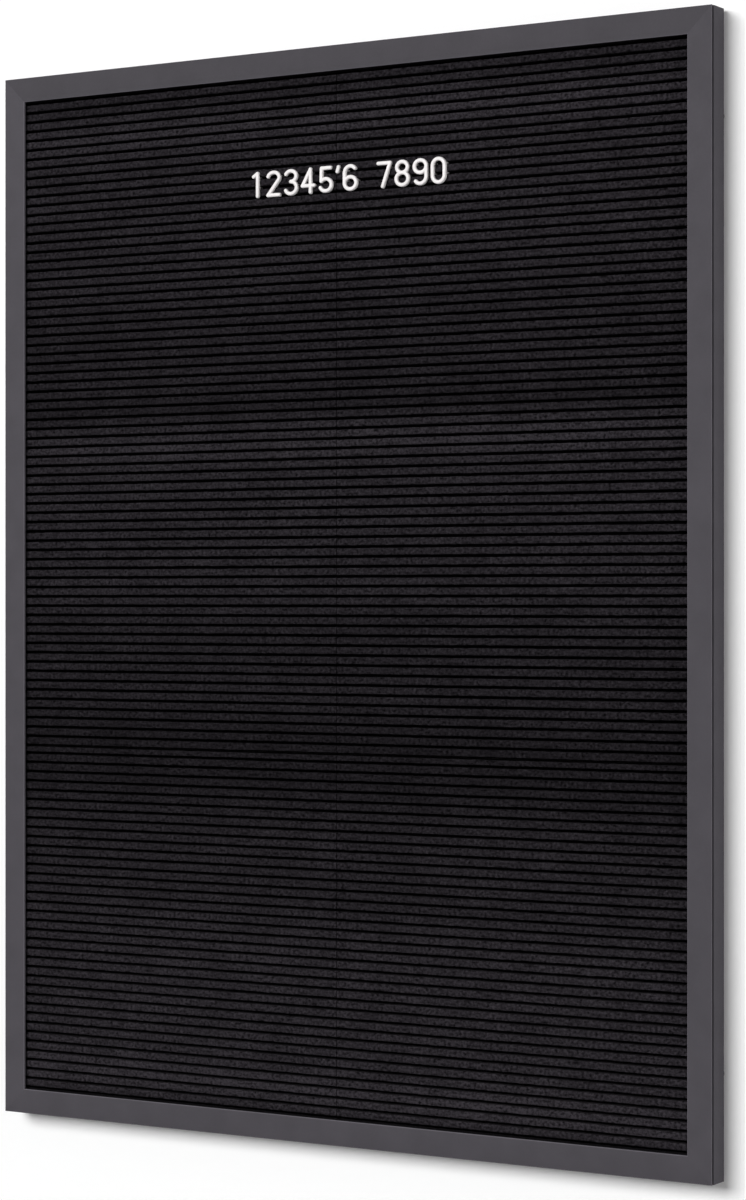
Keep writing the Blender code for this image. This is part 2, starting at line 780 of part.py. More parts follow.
def glyph_mesh(name, strokes):
    """All strokes and pegs of a character joined into one body, with the strokes' flat back at y = 0."""
    levels = [GLYPH_DROP + side * RIB_PITCH / 2 for side in (-1, 1)]
    pegs = [peg_mesh(x, level) for level in levels for x in crossings(strokes, level)]
    shapes = [helper("shape", stroke_mesh(points, closed)) for points, closed in strokes]
    shapes += [helper("shape", peg) for peg in pegs]
    for other in shapes[1:]:
        boolean(shapes[0], other, "UNION")
    mesh = applied(shapes[0], name)
    for used in shapes:
        bpy.data.objects.remove(used)
    return mesh


def advance(character):
    return {"'": APOSTROPHE_ADVANCE, " ": SPACE_ADVANCE}.get(character, GLYPH_ADVANCE)


def make_characters(materials):
    cursor = TEXT_MIDDLE_X - sum(advance(c) for c in TEXT) / 2
    middle_z = PANEL_HEIGHT / 2 - (TEXT_GROOVES_DOWN - 0.5) * RIB_PITCH - GLYPH_DROP
    for character in TEXT:
        x = cursor + advance(character) / 2
        cursor += advance(character)
        if character == " ":
            continue
        quote = character == "'"
        name = "apostrophe" if quote else f"digit_{character}"
        strokes = apostrophe_strokes() if quote else digit_strokes(character)
        where = (x, back(FELT_BACK - SEAT_GAP), middle_z)
        place(name, glyph_mesh(name, strokes), materials["white_plastic"], where)


def main():
    clear_scene()
    materials = make_materials()
    make_rails(materials)
    make_corner_keys(materials)
    make_corner_screws(materials)
    make_hangers(materials)
    make_wall_pads(materials)
    make_backing(materials)
    make_tiles(materials)
    make_characters(materials)


main()
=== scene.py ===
"""The looks of a framed letter board: mitred metal frame, grooved felt panel and push-in characters.

Everything is in metres. X points right as the board is read, the front faces -Y, the wall is at +Y, Z is up,
and the middle of the board is the origin. "Inward" is measured from a rail's outer side towards the panel,
"behind" from the plane of the frame's face towards the wall.
"""

import math

import bmesh
import bpy
import numpy as np
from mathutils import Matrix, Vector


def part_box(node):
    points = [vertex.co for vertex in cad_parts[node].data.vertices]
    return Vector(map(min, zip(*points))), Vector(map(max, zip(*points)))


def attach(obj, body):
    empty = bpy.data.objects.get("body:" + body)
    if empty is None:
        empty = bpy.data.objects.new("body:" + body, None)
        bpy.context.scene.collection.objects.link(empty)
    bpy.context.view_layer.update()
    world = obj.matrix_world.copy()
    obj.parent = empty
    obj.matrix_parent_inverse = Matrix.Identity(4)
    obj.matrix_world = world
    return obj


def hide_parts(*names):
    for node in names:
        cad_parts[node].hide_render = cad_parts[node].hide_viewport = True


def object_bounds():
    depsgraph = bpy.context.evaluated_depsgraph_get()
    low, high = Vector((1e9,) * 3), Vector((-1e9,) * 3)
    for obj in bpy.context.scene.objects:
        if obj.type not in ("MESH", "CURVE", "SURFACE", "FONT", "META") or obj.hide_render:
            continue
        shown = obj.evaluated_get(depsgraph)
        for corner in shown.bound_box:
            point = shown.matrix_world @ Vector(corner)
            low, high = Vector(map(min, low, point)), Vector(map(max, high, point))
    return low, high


bl_info = {
    "name": "Letter board",
    "version": (1, 0, 0),
    "blender": (4, 5, 0),
    "location": "3D View > Sidebar > Letter board",
    "description": "Builds the surfaces and finishes of a framed letter board",
    "category": "Add Mesh",
}

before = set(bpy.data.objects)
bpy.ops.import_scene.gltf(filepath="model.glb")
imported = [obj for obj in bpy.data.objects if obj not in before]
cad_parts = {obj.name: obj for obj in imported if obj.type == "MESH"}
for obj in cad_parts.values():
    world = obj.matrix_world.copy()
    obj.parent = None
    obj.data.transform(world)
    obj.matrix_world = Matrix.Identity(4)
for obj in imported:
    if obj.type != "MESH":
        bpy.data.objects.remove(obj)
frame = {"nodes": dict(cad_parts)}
CAD_LOW, CAD_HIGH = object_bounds()

# Outer sizes

BOARD_WIDTH = CAD_HIGH.x - CAD_LOW.x
BOARD_HEIGHT = CAD_HIGH.z - CAD_LOW.z
FRONT_Y = CAD_LOW.y
WALL_Y = CAD_HIGH.y
FRAME_DEPTH = 0.020
SEAT_GAP = 0.0003

# The rail's section

FACE_WIDTH = 0.019
FACE_THICKNESS = 0.0014
FACE_EDGE = 0.0009
LIP_DEPTH = 0.0025
LIP_WALL = 0.0014
SHADOW_GROOVE_WIDTH = 0.0020
SHADOW_GROOVE_DEPTH = 0.0026
SHADOW_GROOVE_EDGE = 0.00012
OUTER_WALL = 0.0016
REAR_WALL = 0.0015
CHANNEL_END = 0.0116
FIN_END = 0.0128
FIN_HEIGHT = 0.0022
LEDGE_FRONT = 0.0136
LEDGE_WALL = 0.0014
MITRE_GAP = 0.00002

# Painted light on the coat: highlights along the edges, shade inside the shadow groove, and a shade for each
# rail

# Painted shade for each rail, as the light falls on it: the top rail darkest
RAIL_PAINTED_SHADES = {"rail_top": 0.83, "rail_bottom": 0.96, "rail_left": 1.0, "rail_right": 0.97}
LIP_PAINTED_HIGHLIGHT = 1.4
OUTER_EDGE_PAINTED_HIGHLIGHT = 0.8
GROOVE_PAINTED_SHADE = 0.96
GROOVE_PAINTED_SHADE_RUN = 0.0009

# The felt panel

RIB_PITCH = 0.007363
GROOVE_WIDTH = 0.0020
GROOVE_DEPTH = 0.0050
FELT_BEHIND = LIP_DEPTH + SEAT_GAP
PANEL_HEIGHT = BOARD_HEIGHT - 2 * (FIN_END + SEAT_GAP)
NEARLY_WHOLE = 0.01
CREST_DIP = 0.0001
WANDERS_ALONG = 110
DIPS_ALONG = 80
FIRST_SEED = 11

# Painted sheen of the flock's pile, by the distance from a tile's brighter end, with painted shade in the
# grooves and beside the frame's lip

ROW_PAINTED_SHEEN = {"top": 1.0, "middle": 1.0, "bottom": 1.12}
TOP_ROW_DROP = 0.015
NAP_PAINTED_SHEEN = 1.27
BAND_PAINTED_SHEEN = 0.34
BAND_PLACE = 0.026
BAND_REACH = 0.011
END_SHADE = 0.22
END_REACH = 0.006
MIDDLE_FALL = 0.18
MIDDLE_FALL_SPAN = (0.130, 0.170)
FAR_FALL = 0.24
FAR_FALL_SPAN = (0.210, 0.262)
UPRIGHT_LIP_SHADE = 0.5
UPRIGHT_LIP_REACH = 0.001
LEVEL_LIP_SHADE = 0.75
LEVEL_LIP_REACH = 0.0026
FELT_GROOVE_PAINTED_SHADE = 0.92
SUNK_NAP_START = 0.0004
SUNK_NAP_RUN = 0.0016

# Screws and pads

SCREW_SHANK_RADIUS = 0.0015
SCREW_HEAD_RADIUS = 0.0029
SCREW_TIP_RADIUS = 0.0007
SCREW_TIP_LENGTH = 0.0012
THREAD_DEPTH = 0.00018
THREAD_PITCH = 0.0011
PAN_HEAD_HEIGHT = 0.0016
PAN_HEAD_FLANK = 0.35
PAN_HEAD_ROUNDING = 0.456
COUNTERSINK_DEPTH = 0.0013
COUNTERSINK_RIM = 0.0001
RECESS_ARM = 0.0016
RECESS_HALF_WIDTH = 0.0004
RECESS_DEPTH = 0.0009
RECESS_TAPER = 0.0003
PAD_EDGE_RADIUS = 0.0006

# The characters

TEXT = "12345'6 7890"
TEXT_MIDDLE_X = 0.0093
TEXT_GROOVES_DOWN = 12
GLYPH_DROP = 0.0018
GLYPH_HEIGHT = 0.0200
GLYPH_WIDTH = 0.0130
GLYPH_ADVANCE = 0.0155
APOSTROPHE_ADVANCE = 0.0062
SPACE_ADVANCE = 0.0140
STROKE_WIDTH = 0.0029
STROKE_THICKNESS = 0.0022
APOSTROPHE_LENGTH = 0.0034
APOSTROPHE_LEAN = 0.0010
PEG_WIDTH = 0.0020
PEG_SPACING = 0.0050
PEG_CLEARANCE = 0.0003
PEG_END_CLEARANCE = 0.0006
PEG_ROOT = 0.0006

# The stain on the hardboard's front

STAIN_TONE = 0.03
STAIN_START = 0.0002
STAIN_END = 0.0005

# The studio and the photographer's view

WALL_BEHIND = 0.0003
WALL_REACH = 1.1
WALL_COLOUR = (0.86, 0.86, 0.86)
WALL_GLOW = 0.03
WALL_HOLE_MARGIN = 0.005
FLOOR_HEIGHT = -1.0
FLOOR_REACH = 6.0
FLOOR_COLOUR = (0.22, 0.22, 0.22)
FLOOR_GLOW = 0.62
CAMERA_PLACE = (1.2755, -2.0249, -0.0035)
CAMERA_AZIMUTH = 31.66
CAMERA_LENS = 96.01

# Meshes in general

LARGEST_ARC_SHARE = 0.45
SHARP_ANGLE = 40
FELT_SHARP_ANGLE = 62
MERGE_DISTANCE = 1e-6
TOLERANCE = 0.00001


class LetterBoardSizes(bpy.types.PropertyGroup):
    """Sizes that shape the surfaces without changing the board's own dimensions."""

    frame_edge_radius: bpy.props.FloatProperty(
        name="Frame edge radius", description="Roundness of the extrusion's edges",
        default=0.00055, min=0.00005, max=0.001, precision=5, unit="LENGTH")
    rib_squareness: bpy.props.FloatProperty(
        name="Rib squareness", description="Power of the curve across a felt rib; higher is squarer",
        default=8.0, min=2.0, max=20.0)
    felt_unevenness: bpy.props.FloatProperty(
        name="Felt unevenness", description="How far the edges of the felt ribs wander",
        default=0.00022, min=0.0, max=0.0004, precision=5, unit="LENGTH")
    stroke_edge_radius: bpy.props.FloatProperty(
        name="Stroke edge radius", description="Roundness of the characters' front edges",
        default=0.00095, min=0.0002, max=0.0014, precision=5, unit="LENGTH")


def colour_setting(name, description, default):
    """A colour for a user to change."""
    return bpy.props.FloatVectorProperty(
        name=name, description=description, default=default, min=0.0, max=1.0, subtype="COLOR")


class LetterBoardColours(bpy.types.PropertyGroup):
    """Colours of the board's finishes."""

    frame: colour_setting("Frame", "Powder coat on the rails", (0.0640, 0.0592, 0.0686))
    felt: colour_setting("Felt", "Flocked felt on the grooved tiles", (0.0150, 0.0133, 0.0156))
    characters: colour_setting("Characters", "Plastic of the push-in characters", (0.80, 0.77, 0.77))
    backing: colour_setting("Backing", "Hardboard behind the felt tiles", (0.26, 0.145, 0.070))
    pads: colour_setting("Wall pads", "Foam rubber of the wall pads", (0.030, 0.030, 0.032))


class LetterBoardStudio(bpy.types.PropertyGroup):
    """Light and backdrop of the studio."""

    key_power: bpy.props.FloatProperty(
        name="Key light", description="Power of the large soft light above and in front",
        default=640.0, min=0.0, unit="POWER")
    side_power: bpy.props.FloatProperty(
        name="Side light", description="Power of the tall strip light far round to the right",
        default=21.0, min=0.0, unit="POWER")
    rear_power: bpy.props.FloatProperty(
        name="Rear light", description="Power of the light on the board's back, for views from behind",
        default=62.0, min=0.0, unit="POWER")
    ambient: bpy.props.FloatProperty(
        name="Ambient", description="Strength of the even light from all round",
        default=0.08, min=0.0)
    key_width: bpy.props.FloatProperty(
        name="Key width", description="Width of the large soft light",
        default=5.5, min=0.1, unit="LENGTH")
    key_height: bpy.props.FloatProperty(
        name="Key height", description="Height of the large soft light",
        default=3.5, min=0.1, unit="LENGTH")


# Curves and grids


def unit(vectors):
    """Each vector divided by its own length."""
    return vectors / np.linalg.norm(vectors, axis=-1, keepdims=True)


def arc_points(centre_x, centre_z, radius_x, radius_z, start, end, steps=28):
    """Centre plus (radius_x cos t, radius_z sin t), with t from start to end in degrees."""
    t = np.radians(np.linspace(start, end, steps + 1))
    return np.column_stack((centre_x + radius_x * np.cos(t), centre_z + radius_z * np.sin(t)))


def loop_points(centre_x, centre_z, radius_x, radius_z, steps=56):
    """A whole ellipse, without its last point, which is its first."""
    return arc_points(centre_x, centre_z, radius_x, radius_z, 0, 360, steps)[:-1]


def rounded_outline(corners, radius, steps):
    """A closed outline with an arc at each corner; radius is one value or one for each corner. At corner P,
    with a and b the unit directions to its neighbours and q half the angle between them, the arc runs from
    P + a t to P + b t about P + unit(a + b) r / sin q, where r = t tan q and t is radius / tan q, cut to the
    largest share of the shorter edge."""
    before = np.roll(corners, 1, axis=0) - corners
    after = np.roll(corners, -1, axis=0) - corners
    shorter = np.minimum(np.linalg.norm(before, axis=1), np.linalg.norm(after, axis=1))
    a = unit(before)
    b = unit(after)
    q = np.arccos(np.clip((a * b).sum(axis=1), -1, 1)) / 2
    t = np.minimum(radius / np.tan(q), LARGEST_ARC_SHARE * shorter)
    centre = corners + unit(a + b) * (t * np.tan(q) / np.sin(q))[:, None]
    first = (corners + a * t[:, None] - centre)[:, None]
    last = (corners + b * t[:, None] - centre)[:, None]
    share = np.linspace(0, 1, steps + 1)[None, :, None]
    sweep = (np.pi - 2 * q)[:, None, None]
    arcs = (np.sin((1 - share) * sweep) * first + np.sin(share * sweep) * last) / np.sin(sweep)
    return (centre[:, None] + arcs).reshape(-1, 2)


def bell(distance, middle, reach):
    """1 at the middle, falling to 1 / e at the reach to either side of it."""
    return np.exp(-(((distance - middle) / reach) ** 2))


def soft_noise(random, shape, cells):
    """Random values from -1 to 1 on a grid of cells, drawn out to shape by straight lines both ways, up to
    just short of the last point, so that each place has a point after it."""
    end_gap = 1.001
    coarse = random.uniform(-1, 1, cells)
    u = np.linspace(0, cells[0] - end_gap, shape[0])
    v = np.linspace(0, cells[1] - end_gap, shape[1])
    i = u.astype(int)
    j = v.astype(int)
    across = (u - i)[:, None]
    along = (v - j)[None, :]
    near = coarse[np.ix_(i, j)] * (1 - along) + coarse[np.ix_(i, j + 1)] * along
    far = coarse[np.ix_(i + 1, j)] * (1 - along) + coarse[np.ix_(i + 1, j + 1)] * along
    return near * (1 - across) + far * across


def grid_faces(rows, columns, wrap_rows=False):
    """Quads between neighbouring points of a grid whose point (i, j) has the number i * columns + j. Rows
    close on themselves, and wrap_rows joins the last row to the first."""
    i = np.arange(rows if wrap_rows else rows - 1)[:, None]
    j = np.arange(columns)[None, :]
    i_next = (i + 1) % rows
    j_next = (j + 1) % columns
    quads = (i * columns + j, i * columns + j_next, i_next * columns + j_next, i_next * columns + j)
    return np.stack(np.broadcast_arrays(*quads), axis=-1).reshape(-1, 4).tolist()


def cap_faces(rows, columns):
    """One face over the first row of a grid and one over its last."""
    first = list(range(columns))
    last = list(range((rows - 1) * columns, rows * columns))
    return [first[::-1], last]


# Meshes


def closed_mesh(name, points, faces, flat_faces=None, sharp_angle=SHARP_ANGLE):
    """A smooth closed mesh: doubles merged, faces turned outwards, and edges past sharp_angle kept sharp.
    flat_faces says of each of the first faces whether it is flat."""
    mesh = bpy.data.meshes.new(name)
    mesh.from_pydata(points.reshape(-1, 3).tolist(), [], faces)
    smooth = np.ones(len(faces), bool)
    if flat_faces is not None:
        smooth[: len(flat_faces)] = ~flat_faces
    mesh.polygons.foreach_set("use_smooth", smooth)
    shape = bmesh.new()
    shape.from_mesh(mesh)
    bmesh.ops.remove_doubles(shape, verts=shape.verts, dist=MERGE_DISTANCE)
    bmesh.ops.recalc_face_normals(shape, faces=shape.faces)
    shape.to_mesh(mesh)
    shape.free()
    mesh.set_sharp_from_angle(angle=math.radians(sharp_angle))
    return mesh


def vertex_places(mesh):
    """The mesh's vertices as rows of x, y and z."""
    places = np.empty(len(mesh.vertices) * 3)
    mesh.vertices.foreach_get("co", places)
    return places.reshape(-1, 3)


def store_tone(mesh, name, tone):
    """Keeps one value for each vertex as an attribute that a material can read."""
    mesh.attributes.new(name, "FLOAT", "POINT").data.foreach_set("value", tone)


def place_piece(name, mesh, material, node):
    """Shows the mesh as a piece of the object in place of a CAD node."""
    mesh.materials.clear()
    mesh.materials.append(material)
    piece = bpy.data.objects.new(name, mesh)
    bpy.context.scene.collection.objects.link(piece)
    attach(piece, "root")
    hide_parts(node)


def turned_mesh(name, profile, angles, height_change=None):
    """Profile points (r, height) turned about Y: x = r cos a, z = r sin a, y = height + change(x, z)."""
    a = np.linspace(0, 2 * np.pi, angles, endpoint=False)[None, :]
    radius = profile[:, :1]
    x = radius * np.cos(a)
    z = radius * np.sin(a)
    y = profile[:, 1:] + np.zeros_like(x)
    if height_change is not None:
        y = y + height_change(x, z)
    faces = grid_faces(len(profile), angles)
    return closed_mesh(name, np.stack((x, y, z), axis=-1), faces)


def moved_copy(mesh, name, offset):
    """A copy of the mesh with every point moved by offset."""
    copy = mesh.copy()
    copy.name = name
    copy.vertices.foreach_set("co", (vertex_places(copy) + np.array(offset)).ravel())
    copy.update()
    return copy


def joined_mesh(name, meshes):
    """The union of overlapping closed meshes as one closed mesh."""
    helpers = [bpy.data.objects.new("helper", mesh) for mesh in meshes]
    for helper in helpers:
        bpy.context.scene.collection.objects.link(helper)
    for other in helpers[1:]:
        union = helpers[0].modifiers.new("union", "BOOLEAN")
        union.operation = "UNION"
        union.solver = "EXACT"
        union.object = other
    bpy.context.view_layer.update()
    evaluated = helpers[0].evaluated_get(bpy.context.evaluated_depsgraph_get())
    mesh = bpy.data.meshes.new_from_object(evaluated)
    mesh.name = name
    for helper in helpers:
        bpy.data.objects.remove(helper)
    mesh.set_sharp_from_angle(angle=math.radians(SHARP_ANGLE))
    return mesh


# Materials


def maths_node(nodes, operation):
    """A node that works out one sum."""
    node = nodes.new("ShaderNodeMath")
    node.operation = operation
    return node


class Finish:
    """A material whose patterns read Object coordinates, with short calls for the nodes used here."""

    def __init__(self, name, **values):
        self.material = bpy.data.materials.new(name)
        self.material.use_nodes = True
        self.nodes = self.material.node_tree.nodes
        self.links = self.material.node_tree.links
        self.shader = self.nodes["Principled BSDF"]
        self.coordinates = self.nodes.new("ShaderNodeTexCoord")
        for socket, value in values.items():
            self.shader.inputs[socket.replace("_", " ")].default_value = value

    def noise(self, scale, detail=2.0, stretch=(1, 1, 1)):
        """Noise whose cells are about 1 / scale metres, drawn out along an axis where stretch is below 1."""
        mapping = self.nodes.new("ShaderNodeMapping")
        mapping.inputs["Scale"].default_value = stretch
        texture = self.nodes.new("ShaderNodeTexNoise")
        texture.inputs["Scale"].default_value = scale
        texture.inputs["Detail"].default_value = detail
        self.links.new(self.coordinates.outputs["Object"], mapping.inputs["Vector"])
        self.links.new(mapping.outputs["Vector"], texture.inputs["Vector"])
        return texture.outputs["Fac"]

    def spread(self, value, low, high, to_low, to_high):
        """Values from low to high drawn out to run from to_low to to_high."""
        node = self.nodes.new("ShaderNodeMapRange")
        node.inputs["From Min"].default_value = low
        node.inputs["From Max"].default_value = high
        node.inputs["To Min"].default_value = to_low
        node.inputs["To Max"].default_value = to_high
        self.links.new(value, node.inputs["Value"])
        return node.outputs["Result"]

    def vary(self, noise, low, high):
        """Noise, nearly all of which lies between 0.3 and 0.7, drawn out to run from low to high."""
        return self.spread(noise, 0.3, 0.7, low, high)

    def combined(self, operation, first, second):
        """Two values added or multiplied."""
        node = maths_node(self.nodes, operation)
        self.links.new(first, node.inputs[0])
        self.links.new(second, node.inputs[1])
        return node.outputs["Value"]

    def tint(self, value, colour, darkest, lightest):
        """The base colour runs from colour * darkest where value is 0 to colour * lightest where it is 1."""
        ramp = self.nodes.new("ShaderNodeValToRGB")
        ramp.color_ramp.elements[0].color = (*(c * darkest for c in colour), 1)
        ramp.color_ramp.elements[1].color = (*(c * lightest for c in colour), 1)
        self.links.new(value, ramp.inputs["Fac"])
        self.links.new(ramp.outputs["Color"], self.shader.inputs["Base Color"])

    def roughen(self, noise, smoothest, roughest):
        """Roughness follows the noise."""
        self.links.new(self.vary(noise, smoothest, roughest), self.shader.inputs["Roughness"])

    def bump(self, value, height, strength):
        """value raises the surface by up to height metres."""
        node = self.nodes.new("ShaderNodeBump")
        node.inputs["Strength"].default_value = strength
        node.inputs["Distance"].default_value = height
        self.links.new(value, node.inputs["Height"])
        self.links.new(node.outputs["Normal"], self.shader.inputs["Normal"])


def powder_coat(colour):
    """Fine satin powder coat: a faint orange peel, and cloudy patches a little lighter and darker. The coat
    attribute holds painted light: 1 on open faces, a painted highlight along the edges, painted shade inside
    the shadow groove, and a painted shade for each rail."""
    finish = Finish("powder_coat", IOR=1.5, Specular_IOR_Level=0.2)
    coat = finish.nodes.new("ShaderNodeAttribute")
    coat.attribute_name = "coat"
    clouds = finish.vary(finish.noise(45, 4), 0.93, 1.07)
    tone = finish.combined("MULTIPLY", coat.outputs["Fac"], clouds)
    finish.tint(finish.spread(tone, 0, 2.5, 0, 1), colour, 0, 2.5)
    finish.roughen(finish.noise(700), 0.66, 0.78)
    finish.bump(finish.noise(2600, 3), 0.00004, 0.35)
    return finish.material


def felt(colour):
    """Flocked felt: an attribute of painted sheen and shade sets the broad tone; cloudy patches, mottling and
    fibres vary it.
    """
    finish = Finish("felt", IOR=1.4, Roughness=0.95, Specular_IOR_Level=0.0, Sheen_Weight=0.02,
                    Sheen_Roughness=0.4, Sheen_Tint=(0.75, 0.70, 0.76, 1))
    painted_sheen_and_shade = finish.nodes.new("ShaderNodeAttribute")
    painted_sheen_and_shade.attribute_name = "painted_sheen_and_shade"
    mottle = finish.noise(465, 3, (1, 1, 1.1))
    fibres = finish.noise(2600, 2, (1, 1, 0.7))
    broken = finish.combined("MULTIPLY", finish.vary(mottle, 0.19, 1.81), finish.vary(fibres, 0.5, 1.5))
    patches = finish.vary(finish.noise(45, 2), 0.86, 1.14)
    tone = finish.combined("MULTIPLY", finish.combined("MULTIPLY", painted_sheen_and_shade.outputs["Fac"], patches), broken)
    finish.tint(finish.spread(tone, 0, 3, 0, 1), colour, 0, 3)
    finish.bump(finish.combined("ADD", mottle, fibres), 0.00025, 0.8)
    return finish.material


def white_plastic(colour):
    """Moulded plastic with a soft gloss, faint flow marks and slight yellowing in patches."""
    finish = Finish("white_plastic", IOR=1.46)
    finish.tint(finish.vary(finish.noise(160, 3), 0, 1), colour, 0.96, 1.03)
    finish.roughen(finish.noise(900), 0.30, 0.42)
    finish.bump(finish.noise(1400, 2), 0.00003, 0.4)
    return finish.material


def hardboard(colour, front):
    """Pressed wood fibre: short fibres lying all ways, dark flecks and a slightly pebbled face. It is
    stained black at the front, where the joints between the tiles would show it."""
    finish = Finish("hardboard", IOR=1.45, Specular_IOR_Level=0.3)
    level = finish.noise(420, 5, (0.25, 1, 1))
    upright = finish.noise(420, 5, (1, 1, 0.25))
    patches = finish.noise(14, 3)
    fibres = finish.combined("ADD", level, upright)
    mixed = finish.combined("ADD", finish.spread(fibres, 0.7, 1.3, 0.45, 0.9), finish.vary(patches, 0, 0.1))
    axes = finish.nodes.new("ShaderNodeSeparateXYZ")
    finish.links.new(finish.coordinates.outputs["Object"], axes.inputs["Vector"])
    stain = finish.spread(axes.outputs["Y"], front + STAIN_START, front + STAIN_END, STAIN_TONE, 1)
    finish.tint(finish.combined("MULTIPLY", mixed, stain), colour, 0, 1.38)
    finish.roughen(level, 0.55, 0.75)
    finish.bump(fibres, 0.00008, 0.5)
    return finish.material


def cast_zinc():
    """Grey die-cast zinc with a dull grain."""
    finish = Finish("zinc", Metallic=1.0)
    finish.tint(finish.vary(finish.noise(240, 4), 0, 1), (0.50, 0.51, 0.53), 0.82, 1.12)
    finish.roughen(finish.noise(500, 3), 0.42, 0.58)
    finish.bump(finish.noise(1500, 3), 0.00004, 0.5)
    return finish.material


def plated_steel():
    """Bright zinc plating on pressed steel, with rolling lines along the sheet and small stains."""
    finish = Finish("plated_steel", Metallic=1.0)
    finish.tint(finish.vary(finish.noise(300, 4), 0, 1), (0.66, 0.67, 0.69), 0.80, 1.10)
    finish.roughen(finish.noise(900, 3, (0.08, 1, 1)), 0.26, 0.42)
    finish.bump(finish.noise(2200, 2, (0.05, 1, 1)), 0.00002, 0.5)
    return finish.material


def foam_rubber(colour):
    """Dark closed-cell foam with small pits."""
    finish = Finish("foam_rubber", IOR=1.45, Specular_IOR_Level=0.3)
    finish.tint(finish.vary(finish.noise(1800, 3), 0, 1), colour, 0.7, 1.5)
    finish.roughen(finish.noise(1200), 0.75, 0.92)
    finish.bump(finish.noise(2400, 2), 0.00015, 0.7)
    return finish.material


def backdrop(name, colour, glow_strength):
    """A matt surface seen from its front only: from behind, and by shadow rays, it isn't there. Light
    bounces off its colour. To the camera it is white, and glows besides what falls on it."""
    material = bpy.data.materials.new(name)
    material.use_nodes = True
    nodes = material.node_tree.nodes
    links = material.node_tree.links
    nodes.remove(nodes["Principled BSDF"])
    path = nodes.new("ShaderNodeLightPath")
    geometry = nodes.new("ShaderNodeNewGeometry")
    tint = nodes.new("ShaderNodeMix")
    tint.data_type = "RGBA"
    tint.inputs["A"].default_value = (*colour, 1)
    tint.inputs["B"].default_value = (1, 1, 1, 1)
    matt = nodes.new("ShaderNodeBsdfDiffuse")
    glow = nodes.new("ShaderNodeEmission")
    raised = maths_node(nodes, "MULTIPLY")
    raised.inputs[1].default_value = glow_strength
    both = nodes.new("ShaderNodeAddShader")
    clear = nodes.new("ShaderNodeBsdfTransparent")
    unseen = maths_node(nodes, "MAXIMUM")
    shown = nodes.new("ShaderNodeMixShader")
    links.new(path.outputs["Is Camera Ray"], tint.inputs["Factor"])
    links.new(tint.outputs["Result"], matt.inputs["Color"])
    links.new(path.outputs["Is Camera Ray"], raised.inputs[0])
    links.new(raised.outputs["Value"], glow.inputs["Strength"])
    links.new(matt.outputs["BSDF"], both.inputs[0])
    links.new(glow.outputs["Emission"], both.inputs[1])
    links.new(geometry.outputs["Backfacing"], unseen.inputs[0])
    links.new(path.outputs["Is Shadow Ray"], unseen.inputs[1])
    links.new(unseen.outputs["Value"], shown.inputs["Fac"])
    links.new(both.outputs["Shader"], shown.inputs[1])
    links.new(clear.outputs["BSDF"], shown.inputs[2])
    links.new(shown.outputs["Shader"], nodes["Material Output"].inputs["Surface"])
    return material


# Frame rails


def rail_corners():
    """The rail's section as (inward, behind) corners; the last four are the shadow groove's."""
    groove_rear = FACE_EDGE + SHADOW_GROOVE_WIDTH
    groove_wall = SHADOW_GROOVE_DEPTH + OUTER_WALL
    lip_inward = FACE_WIDTH - LIP_WALL
    rear_inside = FRAME_DEPTH - REAR_WALL
    ledge_rear = LEDGE_FRONT + LEDGE_WALL
    return np.array([
        (0, 0),
        (FACE_WIDTH, 0),
        (FACE_WIDTH, LIP_DEPTH),
        (lip_inward, LIP_DEPTH),
        (lip_inward, FACE_THICKNESS),
        (FIN_END, FACE_THICKNESS),
        (FIN_END, FACE_THICKNESS + FIN_HEIGHT),
        (CHANNEL_END, FACE_THICKNESS + FIN_HEIGHT),
        (CHANNEL_END, FACE_THICKNESS),
        (groove_wall, FACE_THICKNESS),
        (groove_wall, groove_rear + OUTER_WALL),
        (OUTER_WALL, groove_rear + OUTER_WALL),
        (OUTER_WALL, rear_inside),
        (CHANNEL_END, rear_inside),
        (CHANNEL_END, LEDGE_FRONT - FIN_HEIGHT),
        (FIN_END, LEDGE_FRONT - FIN_HEIGHT),
        (FIN_END, LEDGE_FRONT),
        (FACE_WIDTH, LEDGE_FRONT),
        (FACE_WIDTH, ledge_rear),
        (FIN_END, ledge_rear),
        (FIN_END, FRAME_DEPTH),
        (0, FRAME_DEPTH),
        (0, groove_rear),
        (SHADOW_GROOVE_DEPTH, groove_rear),
        (SHADOW_GROOVE_DEPTH, FACE_EDGE),
        (0, FACE_EDGE),
    ])


def coat_painted_light(inward, behind, radius):
    """Painted light on the rail's section. Round an edge, at an angle t from the face's normal, a painted
    highlight rises by 2 sin t cos t times a share; inside the shadow groove painted shade soon brings it down
    to almost nothing."""
    narrow = min(radius, LARGEST_ARC_SHARE * FACE_EDGE)
    lip = 2 * np.clip(1 - behind / radius, 0, 1) * np.clip((inward - FACE_WIDTH + radius) / radius, 0, 1)
    outer = 2 * np.clip(1 - behind / narrow, 0, 1) * np.clip(1 - inward / narrow, 0, 1)
    from_middle = np.abs(behind - FACE_EDGE - SHADOW_GROOVE_WIDTH / 2)
    in_groove = (from_middle < SHADOW_GROOVE_WIDTH / 2 + TOLERANCE) & (inward < FACE_WIDTH / 2)
    sunk = np.where(in_groove, np.clip((inward - SHADOW_GROOVE_EDGE) / GROOVE_PAINTED_SHADE_RUN, 0, 1), 0)
    return (1 + LIP_PAINTED_HIGHLIGHT * lip + OUTER_EDGE_PAINTED_HIGHLIGHT * outer) * (1 - GROOVE_PAINTED_SHADE * sunk)


